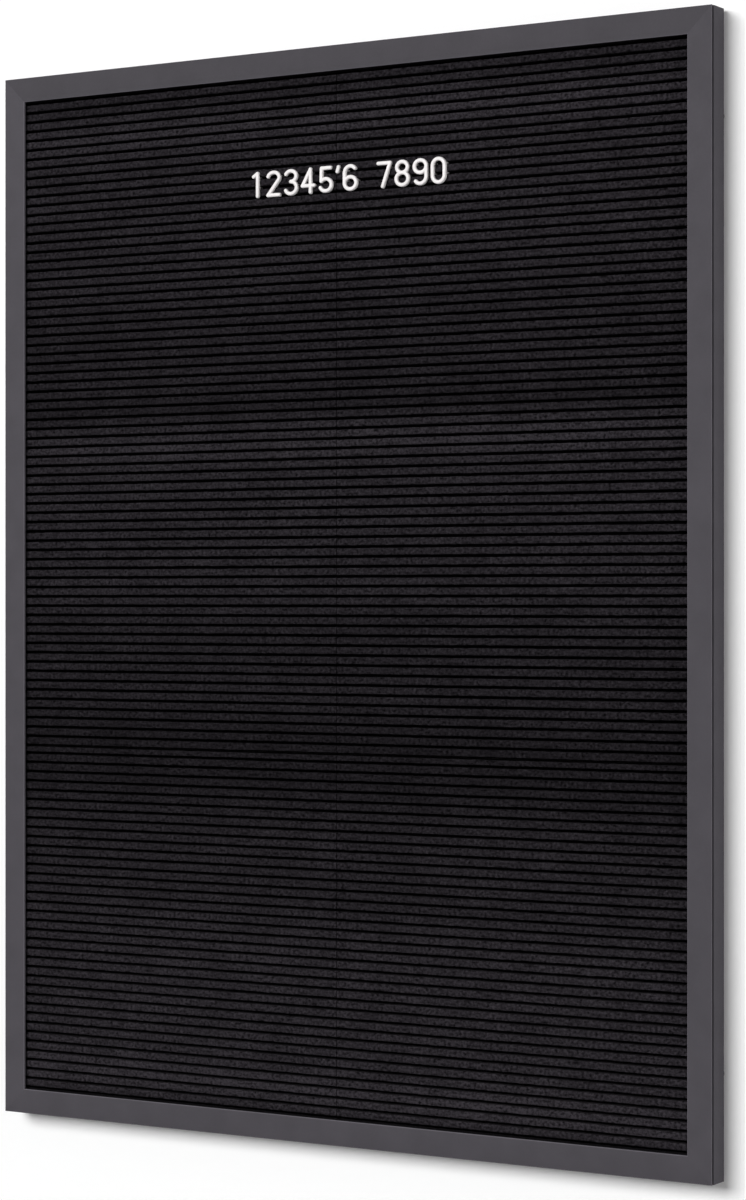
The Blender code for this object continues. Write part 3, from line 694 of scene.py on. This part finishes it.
def rail_mesh(name, length, half_span, turn, edge_radius):
    """The section carried along the rail and mitred: a point (inward, behind) runs between
    x = -+(length / 2 - gap - inward) at z = inward - half_span, and the rail is then turned about Y. The coat
    attribute holds the painted edge highlights and groove shade, times the rail's painted shade."""
    steps = 6
    corners = rail_corners()
    radii = np.full(len(corners), edge_radius)
    radii[-4:] = SHADOW_GROOVE_EDGE
    section = rounded_outline(corners, radii, steps)
    inward = section[:, 0]
    reach = length / 2 - MITRE_GAP / math.sqrt(2) - inward
    y = FRONT_Y + section[:, 1]
    z = inward - half_span
    ends = np.stack([np.column_stack((side * reach, y, z)) for side in (-1, 1)])
    angle = math.radians(turn)
    x_turned = ends[..., 0] * math.cos(angle) + ends[..., 2] * math.sin(angle)
    z_turned = ends[..., 2] * math.cos(angle) - ends[..., 0] * math.sin(angle)
    points = np.stack((x_turned, ends[..., 1], z_turned), axis=-1)
    faces = grid_faces(2, len(section)) + cap_faces(2, len(section))
    flat = np.arange(len(section)) % (steps + 1) == steps
    mesh = closed_mesh(name, points, faces, flat_faces=flat)
    places = vertex_places(mesh)
    across = places[:, 2 if turn % 180 == 0 else 0]
    tone = coat_painted_light(half_span - np.abs(across), places[:, 1] - FRONT_Y, edge_radius)
    # Painted highlights and groove shade, times each rail's painted shade
    store_tone(mesh, "coat", tone * RAIL_PAINTED_SHADES[name])
    return mesh


class LETTERBOARD_OT_rails(bpy.types.Operator):
    """Builds the four mitred rails of the frame"""

    bl_idname = "letterboard.rails"
    bl_label = "Frame rails"

    def execute(self, context):
        radius = context.scene.letter_board_sizes.frame_edge_radius
        coat = powder_coat(context.scene.letter_board_colours.frame)
        rails = {
            "rail_bottom": (BOARD_WIDTH, BOARD_HEIGHT / 2, 0),
            "rail_left": (BOARD_HEIGHT, BOARD_WIDTH / 2, 90),
            "rail_top": (BOARD_WIDTH, BOARD_HEIGHT / 2, 180),
            "rail_right": (BOARD_HEIGHT, BOARD_WIDTH / 2, 270),
        }
        for node, (length, half_span, turn) in rails.items():
            mesh = rail_mesh(node, length, half_span, turn, radius)
            place_piece("coated_" + node, mesh, coat, node)
        return {"FINISHED"}


# Felt tiles


def rib_profile(squareness, steps=11):
    """Half of a squared-off oval: for t from 180 to 0 degrees, z = sign(cos t) |cos t|^p, from -1 to 1, and
    depth = D (1 - sin t^p), where p = 2 / squareness and D is the groove's depth."""
    t = np.linspace(np.pi, 0, steps + 1)
    power = 2 / squareness
    across = np.sign(np.cos(t)) * np.abs(np.cos(t)) ** power
    depth = GROOVE_DEPTH * (1 - np.clip(np.sin(t), 0, 1) ** power)
    return across, depth


def rib_places(low, high):
    """The middle and the half width of each rib between two heights, from the lowest up: whole ribs, half a
    groove in from each end, and then a trimmed one in what is left."""
    bottom = low - SEAT_GAP / 2
    height = high - low + SEAT_GAP
    whole = int(height / RIB_PITCH + NEARLY_WHOLE)
    middles = bottom + (np.arange(whole) + 0.5) * RIB_PITCH
    widths = np.full(whole, RIB_PITCH - GROOVE_WIDTH)
    left_over = height - whole * RIB_PITCH
    if left_over > GROOVE_WIDTH:
        middles = np.append(middles, bottom + height - left_over / 2)
        widths = np.append(widths, left_over - GROOVE_WIDTH)
    return middles, widths / 2


def nap_painted_sheen(distance):
    """Painted sheen of the flock's pile at a distance from a tile's brighter end: darker at that end itself,
    a light band soon after it, then level, with one fall past the middle and a deeper one at the far end."""
    def fall(start, end):
        share = np.clip((distance - start) / (end - start), 0, 1)
        return share * share * (3 - 2 * share)

    band = BAND_PAINTED_SHEEN * bell(distance, BAND_PLACE, BAND_REACH)
    end = END_SHADE * bell(distance, 0, END_REACH)
    middle_fall = MIDDLE_FALL * fall(*MIDDLE_FALL_SPAN)
    far_fall = FAR_FALL * fall(*FAR_FALL_SPAN)
    return NAP_PAINTED_SHEEN * (1 + band - end - middle_fall - far_fall)


def lip_shade(x, z):
    """Painted shadow of the frame's lip on the flock: darkest at the lip, and rising to full along a bell
    curve."""
    beside_upright = np.clip(BOARD_WIDTH / 2 - FACE_WIDTH - np.abs(x), 0, None)
    beside_level = np.clip(BOARD_HEIGHT / 2 - FACE_WIDTH - np.abs(z), 0, None)
    upright_tone = 1 - UPRIGHT_LIP_SHADE * bell(beside_upright, 0, UPRIGHT_LIP_REACH)
    level_tone = 1 - LEVEL_LIP_SHADE * bell(beside_level, 0, LEVEL_LIP_REACH)
    return upright_tone * level_tone


def felt_tile_mesh(name, low, high, bright_end, row_painted_sheen, unevenness, squareness, seed):
    """The profile of all ribs carried from side to side. Each point wanders up and down, and the crests sink
    a little, by soft noise; the back is flat. An attribute holds the pile's painted sheen, with painted shade
    that deepens with the depth below the crests and close to the frame's lip."""
    random = np.random.default_rng(seed)
    columns = 151
    across, depth = rib_profile(squareness)
    middles, halves = rib_places(low.z, high.z)
    ribs = (middles[:, None] + halves[:, None] * across).ravel()
    z = np.concatenate(([low.z], ribs, [high.z]))
    deep = np.concatenate(([GROOVE_DEPTH], np.tile(depth, len(middles)), [GROOVE_DEPTH]))
    shape = (len(z), columns)
    wander = unevenness * soft_noise(random, shape, (len(middles) * 2, WANDERS_ALONG))
    sink = CREST_DIP * (1 + soft_noise(random, shape, (len(middles) * 4, DIPS_ALONG))) / 2
    x = np.linspace(low.x, high.x, columns)[None, :]
    front_z = np.clip(z[:, None] + wander, low.z, high.z)
    front_y = low.y + np.minimum(deep[:, None] + sink, GROOVE_DEPTH)
    front = np.stack(np.broadcast_arrays(x, front_y, front_z), axis=-1)
    back_z = np.array([high.z, low.z])[:, None]
    rear = np.stack(np.broadcast_arrays(x, high.y, back_z), axis=-1)
    ring = np.concatenate((front, rear)).transpose(1, 0, 2)
    faces = grid_faces(columns, ring.shape[1]) + cap_faces(columns, ring.shape[1])
    mesh = closed_mesh(name, ring, faces, sharp_angle=FELT_SHARP_ANGLE)
    places = vertex_places(mesh)
    # Painted shade in the grooves, deepening below the crests
    sunk = np.clip((places[:, 1] - low.y - SUNK_NAP_START) / SUNK_NAP_RUN, 0, 1)
    tone = row_painted_sheen * nap_painted_sheen(np.abs(places[:, 2] - bright_end)) * (1 - FELT_GROOVE_PAINTED_SHADE * sunk)
    store_tone(mesh, "painted_sheen_and_shade", tone * lip_shade(places[:, 0], places[:, 2]))
    return mesh


class LETTERBOARD_OT_felt_tiles(bpy.types.Operator):
    """Builds the six ribbed felt tiles; the bottom pair is fitted the other way up"""

    bl_idname = "letterboard.felt_tiles"
    bl_label = "Felt tiles"

    def execute(self, context):
        sizes = context.scene.letter_board_sizes
        cloth = felt(context.scene.letter_board_colours.felt)
        seed = FIRST_SEED
        for row in ("top", "middle", "bottom"):
            for side in ("left", "right"):
                node = f"felt_tile_{row}_{side}"
                low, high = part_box(node)
                # Each tile's painted sheen runs from its brighter end, times a painted sheen for each row
                bright_end = {"top": high.z - TOP_ROW_DROP, "middle": high.z, "bottom": low.z}[row]
                mesh = felt_tile_mesh(node, low, high, bright_end, ROW_PAINTED_SHEEN[row], sizes.felt_unevenness,
                                      sizes.rib_squareness, seed)
                place_piece(f"flocked_tile_{row}_{side}", mesh, cloth, node)
                seed += 1
        return {"FINISHED"}


# Push-in characters


def open_strokes(*paths):
    """Centre lines whose ends stay apart."""
    return [(points, False) for points in paths]


def digit_lines(digit):
    """The centre lines of a digit as (points, closed), round its middle."""
    w = (GLYPH_WIDTH - STROKE_WIDTH) / 2
    h = (GLYPH_HEIGHT - STROKE_WIDTH) / 2
    waist = 0.06 * h
    upper = (h - waist) / 2
    lower = (h + waist) / 2
    top_bowl = waist + upper
    low_bowl = -h + lower
    shoulder = h - w
    crossbar = -0.42 * h
    if digit == "0":
        sides = (arc_points(0, shoulder, w, w, 0, 180), arc_points(0, -shoulder, w, w, 180, 360))
        return [(np.concatenate(sides), True)]
    if digit == "1":
        return open_strokes([(0.2 * w, h), (0.2 * w, -h)], [(0.2 * w, h), (-0.5 * w, 0.74 * h)])
    if digit == "2":
        bowl = np.concatenate((arc_points(0, top_bowl, w, upper, 165, -25), [(-w, -h)]))
        return open_strokes(bowl, [(-w, -h), (w, -h)])
    if digit == "3":
        high = arc_points(0, top_bowl, 0.94 * w, upper, 155, -90)
        low = arc_points(0, low_bowl, w, lower, 90, -155)
        return open_strokes(high, low)
    if digit == "4":
        stem = [(0.4 * w, h), (0.4 * w, -h)]
        diagonal = [(0.4 * w, h), (-w, crossbar)]
        bar = [(-w, crossbar), (w, crossbar)]
        return open_strokes(stem, diagonal, bar)
    if digit == "5":
        bowl = arc_points(0, low_bowl, w, lower, 140, -155)
        corner = (-0.72 * w, h)
        return open_strokes([(0.85 * w, h), corner], [corner, bowl[0]], bowl)
    if digit == "6":
        hook = np.concatenate((arc_points(0, shoulder, w, w, 40, 180), [(-w, low_bowl)]))
        return [(loop_points(0, low_bowl, w, lower), True), (hook, False)]
    if digit == "7":
        return open_strokes([(-w, h), (w, h)], [(w, h), (-0.25 * w, -h)])
    if digit == "8":
        return [(loop_points(0, top_bowl, 0.9 * w, upper), True), (loop_points(0, low_bowl, w, lower), True)]
    return [(-points, closed) for points, closed in digit_lines("6")]


def apostrophe_lines():
    """One short leaning stroke at the top."""
    top = (GLYPH_HEIGHT - STROKE_WIDTH) / 2
    return open_strokes([(APOSTROPHE_LEAN / 2, top), (-APOSTROPHE_LEAN / 2, top - APOSTROPHE_LENGTH)])


def line_normals(path, closed):
    """The line's direction at each point, and its left-hand normal there: the mean of the two segments'
    normals, lengthened to keep the stroke's width."""
    steps = unit(np.diff(path, axis=0, append=path[:1]))
    if not closed:
        steps[-1] = steps[-2]
    arriving = np.roll(steps, 1, axis=0)
    if not closed:
        arriving[0] = steps[0]
    along = unit(arriving + steps)
    stretch = 1 / np.maximum((along * steps).sum(axis=1), 0.5)
    return along, np.column_stack((-along[:, 1], along[:, 0])) * stretch[:, None]


def outline_round(path, distance, steps=12):
    """The closed line at a distance round an open one: its left side, a half circle round its end, its right
    side back, and a half circle round its start."""
    along, normals = line_normals(path, False)
    turns = np.linspace(np.pi / 2, -np.pi / 2, steps + 1)[1:-1]
    end = math.atan2(along[-1, 1], along[-1, 0]) + turns
    start = math.atan2(-along[0, 1], -along[0, 0]) + turns
    end_cap = path[-1] + distance * np.column_stack((np.cos(end), np.sin(end)))
    start_cap = path[0] + distance * np.column_stack((np.cos(start), np.sin(start)))
    left = path + normals * distance
    right = (path - normals * distance)[::-1]
    return np.concatenate((left, end_cap, right, start_cap))


def stroke_levels(edge_radius):
    """Half of a stroke's section as (distance from the centre line, height): flat back, upright flank,
    rounded edge and a flat top."""
    half = STROKE_WIDTH / 2
    centre = (half - edge_radius, STROKE_THICKNESS - edge_radius)
    edge = arc_points(*centre, edge_radius, edge_radius, 0, 90, 7)
    return np.concatenate(([(0, 0), (half, 0)], edge, [(0, STROKE_THICKNESS)]))


def stroke_mesh(points, closed, edge_radius):
    """The stroke's section carried along its centre line, lying at heights above y = 0 towards the front."""
    path = np.array(points, float)
    levels = stroke_levels(edge_radius)
    if closed:
        normals = line_normals(path, True)[1]
        section = np.concatenate((levels[1:-1], levels[-2:0:-1] * (-1, 1)))
        flat = path[:, None] + normals[:, None] * section[None, :, :1]
        height = np.broadcast_to(section[None, :, 1], flat.shape[:2])
    else:
        flat = np.stack([outline_round(path, distance) for distance in levels[:, 0]])
        height = np.broadcast_to(levels[:, 1:], flat.shape[:2])
    grid = np.stack((flat[..., 0], -height, flat[..., 1]), axis=-1)
    faces = grid_faces(*grid.shape[:2], wrap_rows=closed)
    return closed_mesh("stroke", grid, faces)


def peg_mesh(x, z):
    """A tapered peg behind the stroke: a rectangle carried backwards and narrowed by a quarter."""
    half = np.array([PEG_WIDTH / 2, GROOVE_WIDTH / 2 - PEG_CLEARANCE])
    signs = np.array([(-1, -1), (1, -1), (1, 1), (-1, 1)])
    reach = np.array([-PEG_ROOT, SEAT_GAP + GROOVE_DEPTH - PEG_END_CLEARANCE])
    narrowing = np.array([1.0, 0.75])
    spots = signs[None] * half * narrowing[:, None, None]
    y = np.broadcast_to(reach[:, None], spots.shape[:2])
    points = np.stack((x + spots[..., 0], y, z + spots[..., 1]), axis=-1)
    return closed_mesh("peg", points, grid_faces(2, 4) + cap_faces(2, 4))


def peg_places(lines, level):
    """The x of each place where a centre line passes a height, kept well apart."""
    found = []
    for points, closed in lines:
        start = np.array(points, float)
        end = np.roll(start, -1, axis=0)
        if not closed:
            start = start[:-1]
            end = end[:-1]
        passes = (np.minimum(start[:, 1], end[:, 1]) <= level) & (level < np.maximum(start[:, 1], end[:, 1]))
        a = start[passes]
        b = end[passes]
        found += (a[:, 0] + (b[:, 0] - a[:, 0]) * (level - a[:, 1]) / (b[:, 1] - a[:, 1])).tolist()
    kept = []
    for x in sorted(found, reverse=True):
        if not kept or kept[-1] - x > PEG_SPACING:
            kept.append(x)
    return kept


def character_mesh(name, lines, edge_radius):
    """All strokes and pegs of a character as one body."""
    levels = [GLYPH_DROP + side * RIB_PITCH / 2 for side in (-1, 1)]
    strokes = [stroke_mesh(points, closed, edge_radius) for points, closed in lines]
    pegs = [peg_mesh(x, level) for level in levels for x in peg_places(lines, level)]
    return joined_mesh(name, strokes + pegs)


def advance(character):
    """How far a character moves the next one along."""
    return {"'": APOSTROPHE_ADVANCE, " ": SPACE_ADVANCE}.get(character, GLYPH_ADVANCE)


class LETTERBOARD_OT_characters(bpy.types.Operator):
    """Builds the push-in characters, with the pegs that hold them in the grooves"""

    bl_idname = "letterboard.characters"
    bl_label = "Characters"

    def execute(self, context):
        radius = context.scene.letter_board_sizes.stroke_edge_radius
        plastic = white_plastic(context.scene.letter_board_colours.characters)
        cursor = TEXT_MIDDLE_X - sum(advance(c) for c in TEXT) / 2
        seat = FRONT_Y + FELT_BEHIND - SEAT_GAP
        middle_z = PANEL_HEIGHT / 2 - (TEXT_GROOVES_DOWN - 0.5) * RIB_PITCH - GLYPH_DROP
        for character in TEXT:
            x = cursor + advance(character) / 2
            cursor += advance(character)
            if character == " ":
                continue
            quote = character == "'"
            node = "apostrophe" if quote else f"digit_{character}"
            lines = apostrophe_lines() if quote else digit_lines(character)
            shape = character_mesh(node, lines, radius)
            mesh = moved_copy(shape, node, (x, seat, middle_z))
            place_piece("moulded_" + node, mesh, plastic, node)
        return {"FINISHED"}


# Screws


def cross_recess(x, z):
    """Height of a tapered cross recess: its full depth inside either arm, and nothing past the taper."""
    def inside(along, across):
        width = np.clip((RECESS_HALF_WIDTH + RECESS_TAPER - np.abs(across)) / RECESS_TAPER, 0, 1)
        length = np.clip((RECESS_ARM + RECESS_TAPER - np.abs(along)) / RECESS_TAPER, 0, 1)
        return width * length

    return -RECESS_DEPTH * np.maximum(inside(x, z), inside(z, x))


def screw_mesh(name, head, length):
    """A screw along Y whose head faces +Y: a shank with a ring for each turn of thread, then the head."""
    shank = SCREW_SHANK_RADIUS
    thread = np.linspace(-length + SCREW_TIP_LENGTH, head[0][1], 33)[:-1]
    waves = shank - THREAD_DEPTH * (1 + np.cos(2 * np.pi * (thread - thread[0]) / THREAD_PITCH)) / 2
    start = [(0, -length), (SCREW_TIP_RADIUS, -length)]
    face_y = head[-1][1]
    rim = head[-1][0]
    face = [(r, face_y) for r in np.linspace(rim, 0, 18)[1:]]
    profile = np.array(start + list(zip(waves, thread)) + head + face)

    def sunk(x, z):
        on_face = (np.arange(len(profile)) >= len(profile) - len(face) - 1)[:, None]
        return np.where(on_face, cross_recess(x, z), 0.0)

    return turned_mesh(name, profile, 64, sunk)


def pan_head():
    """The rounded head's profile, an upright flank and part of an oval, from the shank to its face."""
    t = np.radians(np.linspace(0, 70, 8))
    rise = PAN_HEAD_HEIGHT * (PAN_HEAD_FLANK + (1 - PAN_HEAD_FLANK) * np.sin(t) / math.sin(t[-1]))
    radius = SCREW_HEAD_RADIUS * (1 - PAN_HEAD_ROUNDING * (1 - np.cos(t)))
    return [(SCREW_SHANK_RADIUS, 0), (SCREW_HEAD_RADIUS, 0), *zip(radius, rise)]


def flat_head():
    """The countersunk head's profile: a cone from the shank to the rim."""
    rim = (SCREW_HEAD_RADIUS, -COUNTERSINK_RIM)
    return [(SCREW_SHANK_RADIUS, -COUNTERSINK_DEPTH), rim, (SCREW_HEAD_RADIUS, 0)]


class LETTERBOARD_OT_screws(bpy.types.Operator):
    """Builds the corner screws and the hanger plates' screws, each standing where its solid is"""

    bl_idname = "letterboard.screws"
    bl_label = "Screws"

    def execute(self, context):
        steel = plated_steel()
        for node in sorted(n for n in frame["nodes"] if "_screw_" in n):
            low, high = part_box(node)
            pan = node.startswith("corner")
            head = pan_head() if pan else flat_head()
            under_head = high.y - PAN_HEAD_HEIGHT if pan else high.y
            shape = screw_mesh(node, head, under_head - low.y)
            middle = ((low.x + high.x) / 2, under_head, (low.z + high.z) / 2)
            place_piece("turned_" + node, moved_copy(shape, node, middle), steel, node)
        return {"FINISHED"}


# Wall pads


def pad_profile(radius, thickness):
    """(radius, height) points of a soft disc: flat faces, and a quarter-round rear edge."""
    r = PAD_EDGE_RADIUS
    edge = arc_points(radius - r, thickness - r, r, r, 0, 90, 6)
    return np.concatenate(([(0, 0), (radius, 0)], edge, [(radius / 2, thickness), (0, thickness)]))


class LETTERBOARD_OT_wall_pads(bpy.types.Operator):
    """Builds the four foam pads that keep the board off the wall"""

    bl_idname = "letterboard.wall_pads"
    bl_label = "Wall pads"

    def execute(self, context):
        foam = foam_rubber(context.scene.letter_board_colours.pads)
        for node in sorted(n for n in frame["nodes"] if n.startswith("wall_pad_")):
            low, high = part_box(node)
            shape = turned_mesh(node, pad_profile((high.x - low.x) / 2, high.y - low.y), 56)
            middle = ((low.x + high.x) / 2, low.y, (low.z + high.z) / 2)
            place_piece("foam_" + node, moved_copy(shape, node, middle), foam, node)
        return {"FINISHED"}


# Board, keys and hanger plates


class LETTERBOARD_OT_solid_parts(bpy.types.Operator):
    """Gives the backing board, the corner keys and the hanger plates their finishes"""

    bl_idname = "letterboard.solid_parts"
    bl_label = "Backing, keys and hangers"

    def execute(self, context):
        board = hardboard(context.scene.letter_board_colours.backing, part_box("backing_board")[0].y)
        finishes = {"backing_board": board, "corner_key_": cast_zinc(), "hanger_plate_": plated_steel()}
        for start, material in finishes.items():
            for node in sorted(n for n in frame["nodes"] if n.startswith(start)):
                mesh = frame["nodes"][node].data
                mesh.materials.clear()
                mesh.materials.append(material)
        return {"FINISHED"}


# Studio


def sheet_mesh(name, corners, hole=()):
    """A flat four-cornered sheet, whose front is the side from which its corners run anticlockwise. A hole
    is four more corners in the same order, and the sheet is then the four faces round it."""
    around = [(i, (i + 1) % 4, (i + 1) % 4 + 4, i + 4) for i in range(4)]
    mesh = bpy.data.meshes.new(name)
    mesh.from_pydata([*corners, *hole], [], around if hole else [(0, 1, 2, 3)])
    return mesh


def upright_corners(left, low, right, high, y):
    """The corners of an upright rectangle whose front faces -Y."""
    return [(left, y, low), (right, y, low), (right, y, high), (left, y, high)]


def add_backdrop(name, mesh, colour, glow_strength):
    """A stage piece with the backdrop finish."""
    sheet = bpy.data.objects.new(name, mesh)
    sheet.data.materials.append(backdrop(name, colour, glow_strength))
    bpy.context.scene.collection.objects.link(sheet)


def add_world(ambient):
    """White for what the camera sees and gloss mirrors, and the ambient strength for all other light."""
    world = bpy.data.worlds.new("studio")
    bpy.context.scene.world = world
    world.use_nodes = True
    nodes = world.node_tree.nodes
    links = world.node_tree.links
    path = nodes.new("ShaderNodeLightPath")
    mirrored = maths_node(nodes, "MAXIMUM")
    seen = maths_node(nodes, "MAXIMUM")
    strength = nodes.new("ShaderNodeMapRange")
    strength.inputs["To Min"].default_value = ambient
    strength.inputs["To Max"].default_value = 1.0
    nodes["Background"].inputs["Color"].default_value = (1, 1, 1, 1)
    links.new(path.outputs["Is Glossy Ray"], mirrored.inputs[0])
    links.new(path.outputs["Is Transmission Ray"], mirrored.inputs[1])
    links.new(path.outputs["Is Camera Ray"], seen.inputs[0])
    links.new(mirrored.outputs["Value"], seen.inputs[1])
    links.new(seen.outputs["Value"], strength.inputs["Value"])
    links.new(strength.outputs["Result"], nodes["Background"].inputs["Strength"])


def add_soft_light(name, power, bearing, rise, distance, width, height, mirrored=True):
    """A rectangular soft light at a bearing to the right of the board's front and a rise above level, both
    in degrees, turned to face the board's middle. Gloss shows it where it is mirrored."""
    lamp = bpy.data.lights.new(name, "AREA")
    lamp.shape = "RECTANGLE"
    lamp.size = width
    lamp.size_y = height
    lamp.energy = power
    light = bpy.data.objects.new(name, lamp)
    turn = math.radians(bearing)
    lift = math.radians(rise)
    light.location = (
        distance * math.sin(turn) * math.cos(lift),
        -distance * math.cos(turn) * math.cos(lift),
        distance * math.sin(lift),
    )
    light.rotation_euler = (math.radians(90) - lift, 0, turn)
    light.visible_camera = False
    light.visible_glossy = mirrored
    bpy.context.scene.collection.objects.link(light)


def add_camera():
    """The camera of the photograph: level, to the right of the board."""
    camera = bpy.data.objects.new("camera", bpy.data.cameras.new("camera"))
    camera.data.sensor_width = 36
    camera.data.lens = CAMERA_LENS
    camera.location = CAMERA_PLACE
    camera.rotation_euler = (math.radians(90), 0, math.radians(CAMERA_AZIMUTH))
    bpy.context.scene.collection.objects.link(camera)
    bpy.context.scene.camera = camera


class LETTERBOARD_OT_studio(bpy.types.Operator):
    """Adds the wall, open behind the board for light on its back, the floor, the light and the camera"""

    bl_idname = "letterboard.studio"
    bl_label = "Studio"

    def execute(self, context):
        studio = context.scene.letter_board_studio
        half_width = BOARD_WIDTH / 2 - WALL_HOLE_MARGIN
        half_height = BOARD_HEIGHT / 2 - WALL_HOLE_MARGIN
        wall = WALL_Y + WALL_BEHIND
        edge = upright_corners(-WALL_REACH, FLOOR_HEIGHT, WALL_REACH, WALL_REACH, wall)
        hole = upright_corners(-half_width, -half_height, half_width, half_height, wall)
        signs = ((-1, -1), (1, -1), (1, 1), (-1, 1))
        floor_corners = [(x * FLOOR_REACH, y * FLOOR_REACH, FLOOR_HEIGHT) for x, y in signs]
        add_backdrop("wall", sheet_mesh("wall", edge, hole), WALL_COLOUR, WALL_GLOW)
        add_backdrop("floor", sheet_mesh("floor", floor_corners), FLOOR_COLOUR, FLOOR_GLOW)
        add_world(studio.ambient)
        add_soft_light("key", studio.key_power, bearing=-18, rise=20, distance=8.0,
                       width=studio.key_width, height=studio.key_height)
        add_soft_light("side", studio.side_power, bearing=79, rise=0, distance=2.4, width=0.5, height=1.8)
        add_soft_light("rear", studio.rear_power, bearing=205, rise=25, distance=3.0,
                       width=1.2, height=0.9, mirrored=False)
        add_soft_light("rear_fill", studio.rear_power / 3, bearing=180, rise=-12, distance=3.0,
                       width=0.5, height=0.9, mirrored=False)
        add_camera()
        context.scene.view_settings.view_transform = "Standard"
        return {"FINISHED"}


OPERATORS = (
    LETTERBOARD_OT_rails,
    LETTERBOARD_OT_felt_tiles,
    LETTERBOARD_OT_characters,
    LETTERBOARD_OT_screws,
    LETTERBOARD_OT_wall_pads,
    LETTERBOARD_OT_solid_parts,
    LETTERBOARD_OT_studio,
)


class LETTERBOARD_PT_panel(bpy.types.Panel):
    """Lists the board's pieces and their sizes and colours"""

    bl_idname = "LETTERBOARD_PT_panel"
    bl_label = "Letter board"
    bl_space_type = "VIEW_3D"
    bl_region_type = "UI"
    bl_category = "Letter board"

    def draw(self, context):
        layout = self.layout
        for group in ("letter_board_sizes", "letter_board_colours", "letter_board_studio"):
            settings = getattr(context.scene, group)
            box = layout.box()
            for name in settings.bl_rna.properties.keys():
                if name not in ("rna_type", "name"):
                    box.prop(settings, name)
        for operator in OPERATORS:
            layout.operator(operator.bl_idname)


GROUPS = {
    "letter_board_sizes": LetterBoardSizes,
    "letter_board_colours": LetterBoardColours,
    "letter_board_studio": LetterBoardStudio,
}


def register():
    for name, group in GROUPS.items():
        bpy.utils.register_class(group)
        setattr(bpy.types.Scene, name, bpy.props.PointerProperty(type=group))
    for item in (*OPERATORS, LETTERBOARD_PT_panel):
        bpy.utils.register_class(item)


def unregister():
    for item in (LETTERBOARD_PT_panel, *reversed(OPERATORS)):
        bpy.utils.unregister_class(item)
    for name, group in GROUPS.items():
        delattr(bpy.types.Scene, name)
        bpy.utils.unregister_class(group)


def main():
    register()
    bpy.ops.letterboard.rails()
    bpy.ops.letterboard.felt_tiles()
    bpy.ops.letterboard.characters()
    bpy.ops.letterboard.screws()
    bpy.ops.letterboard.wall_pads()
    bpy.ops.letterboard.solid_parts()
    bpy.ops.letterboard.studio()


if __name__ == "__main__":
    main()
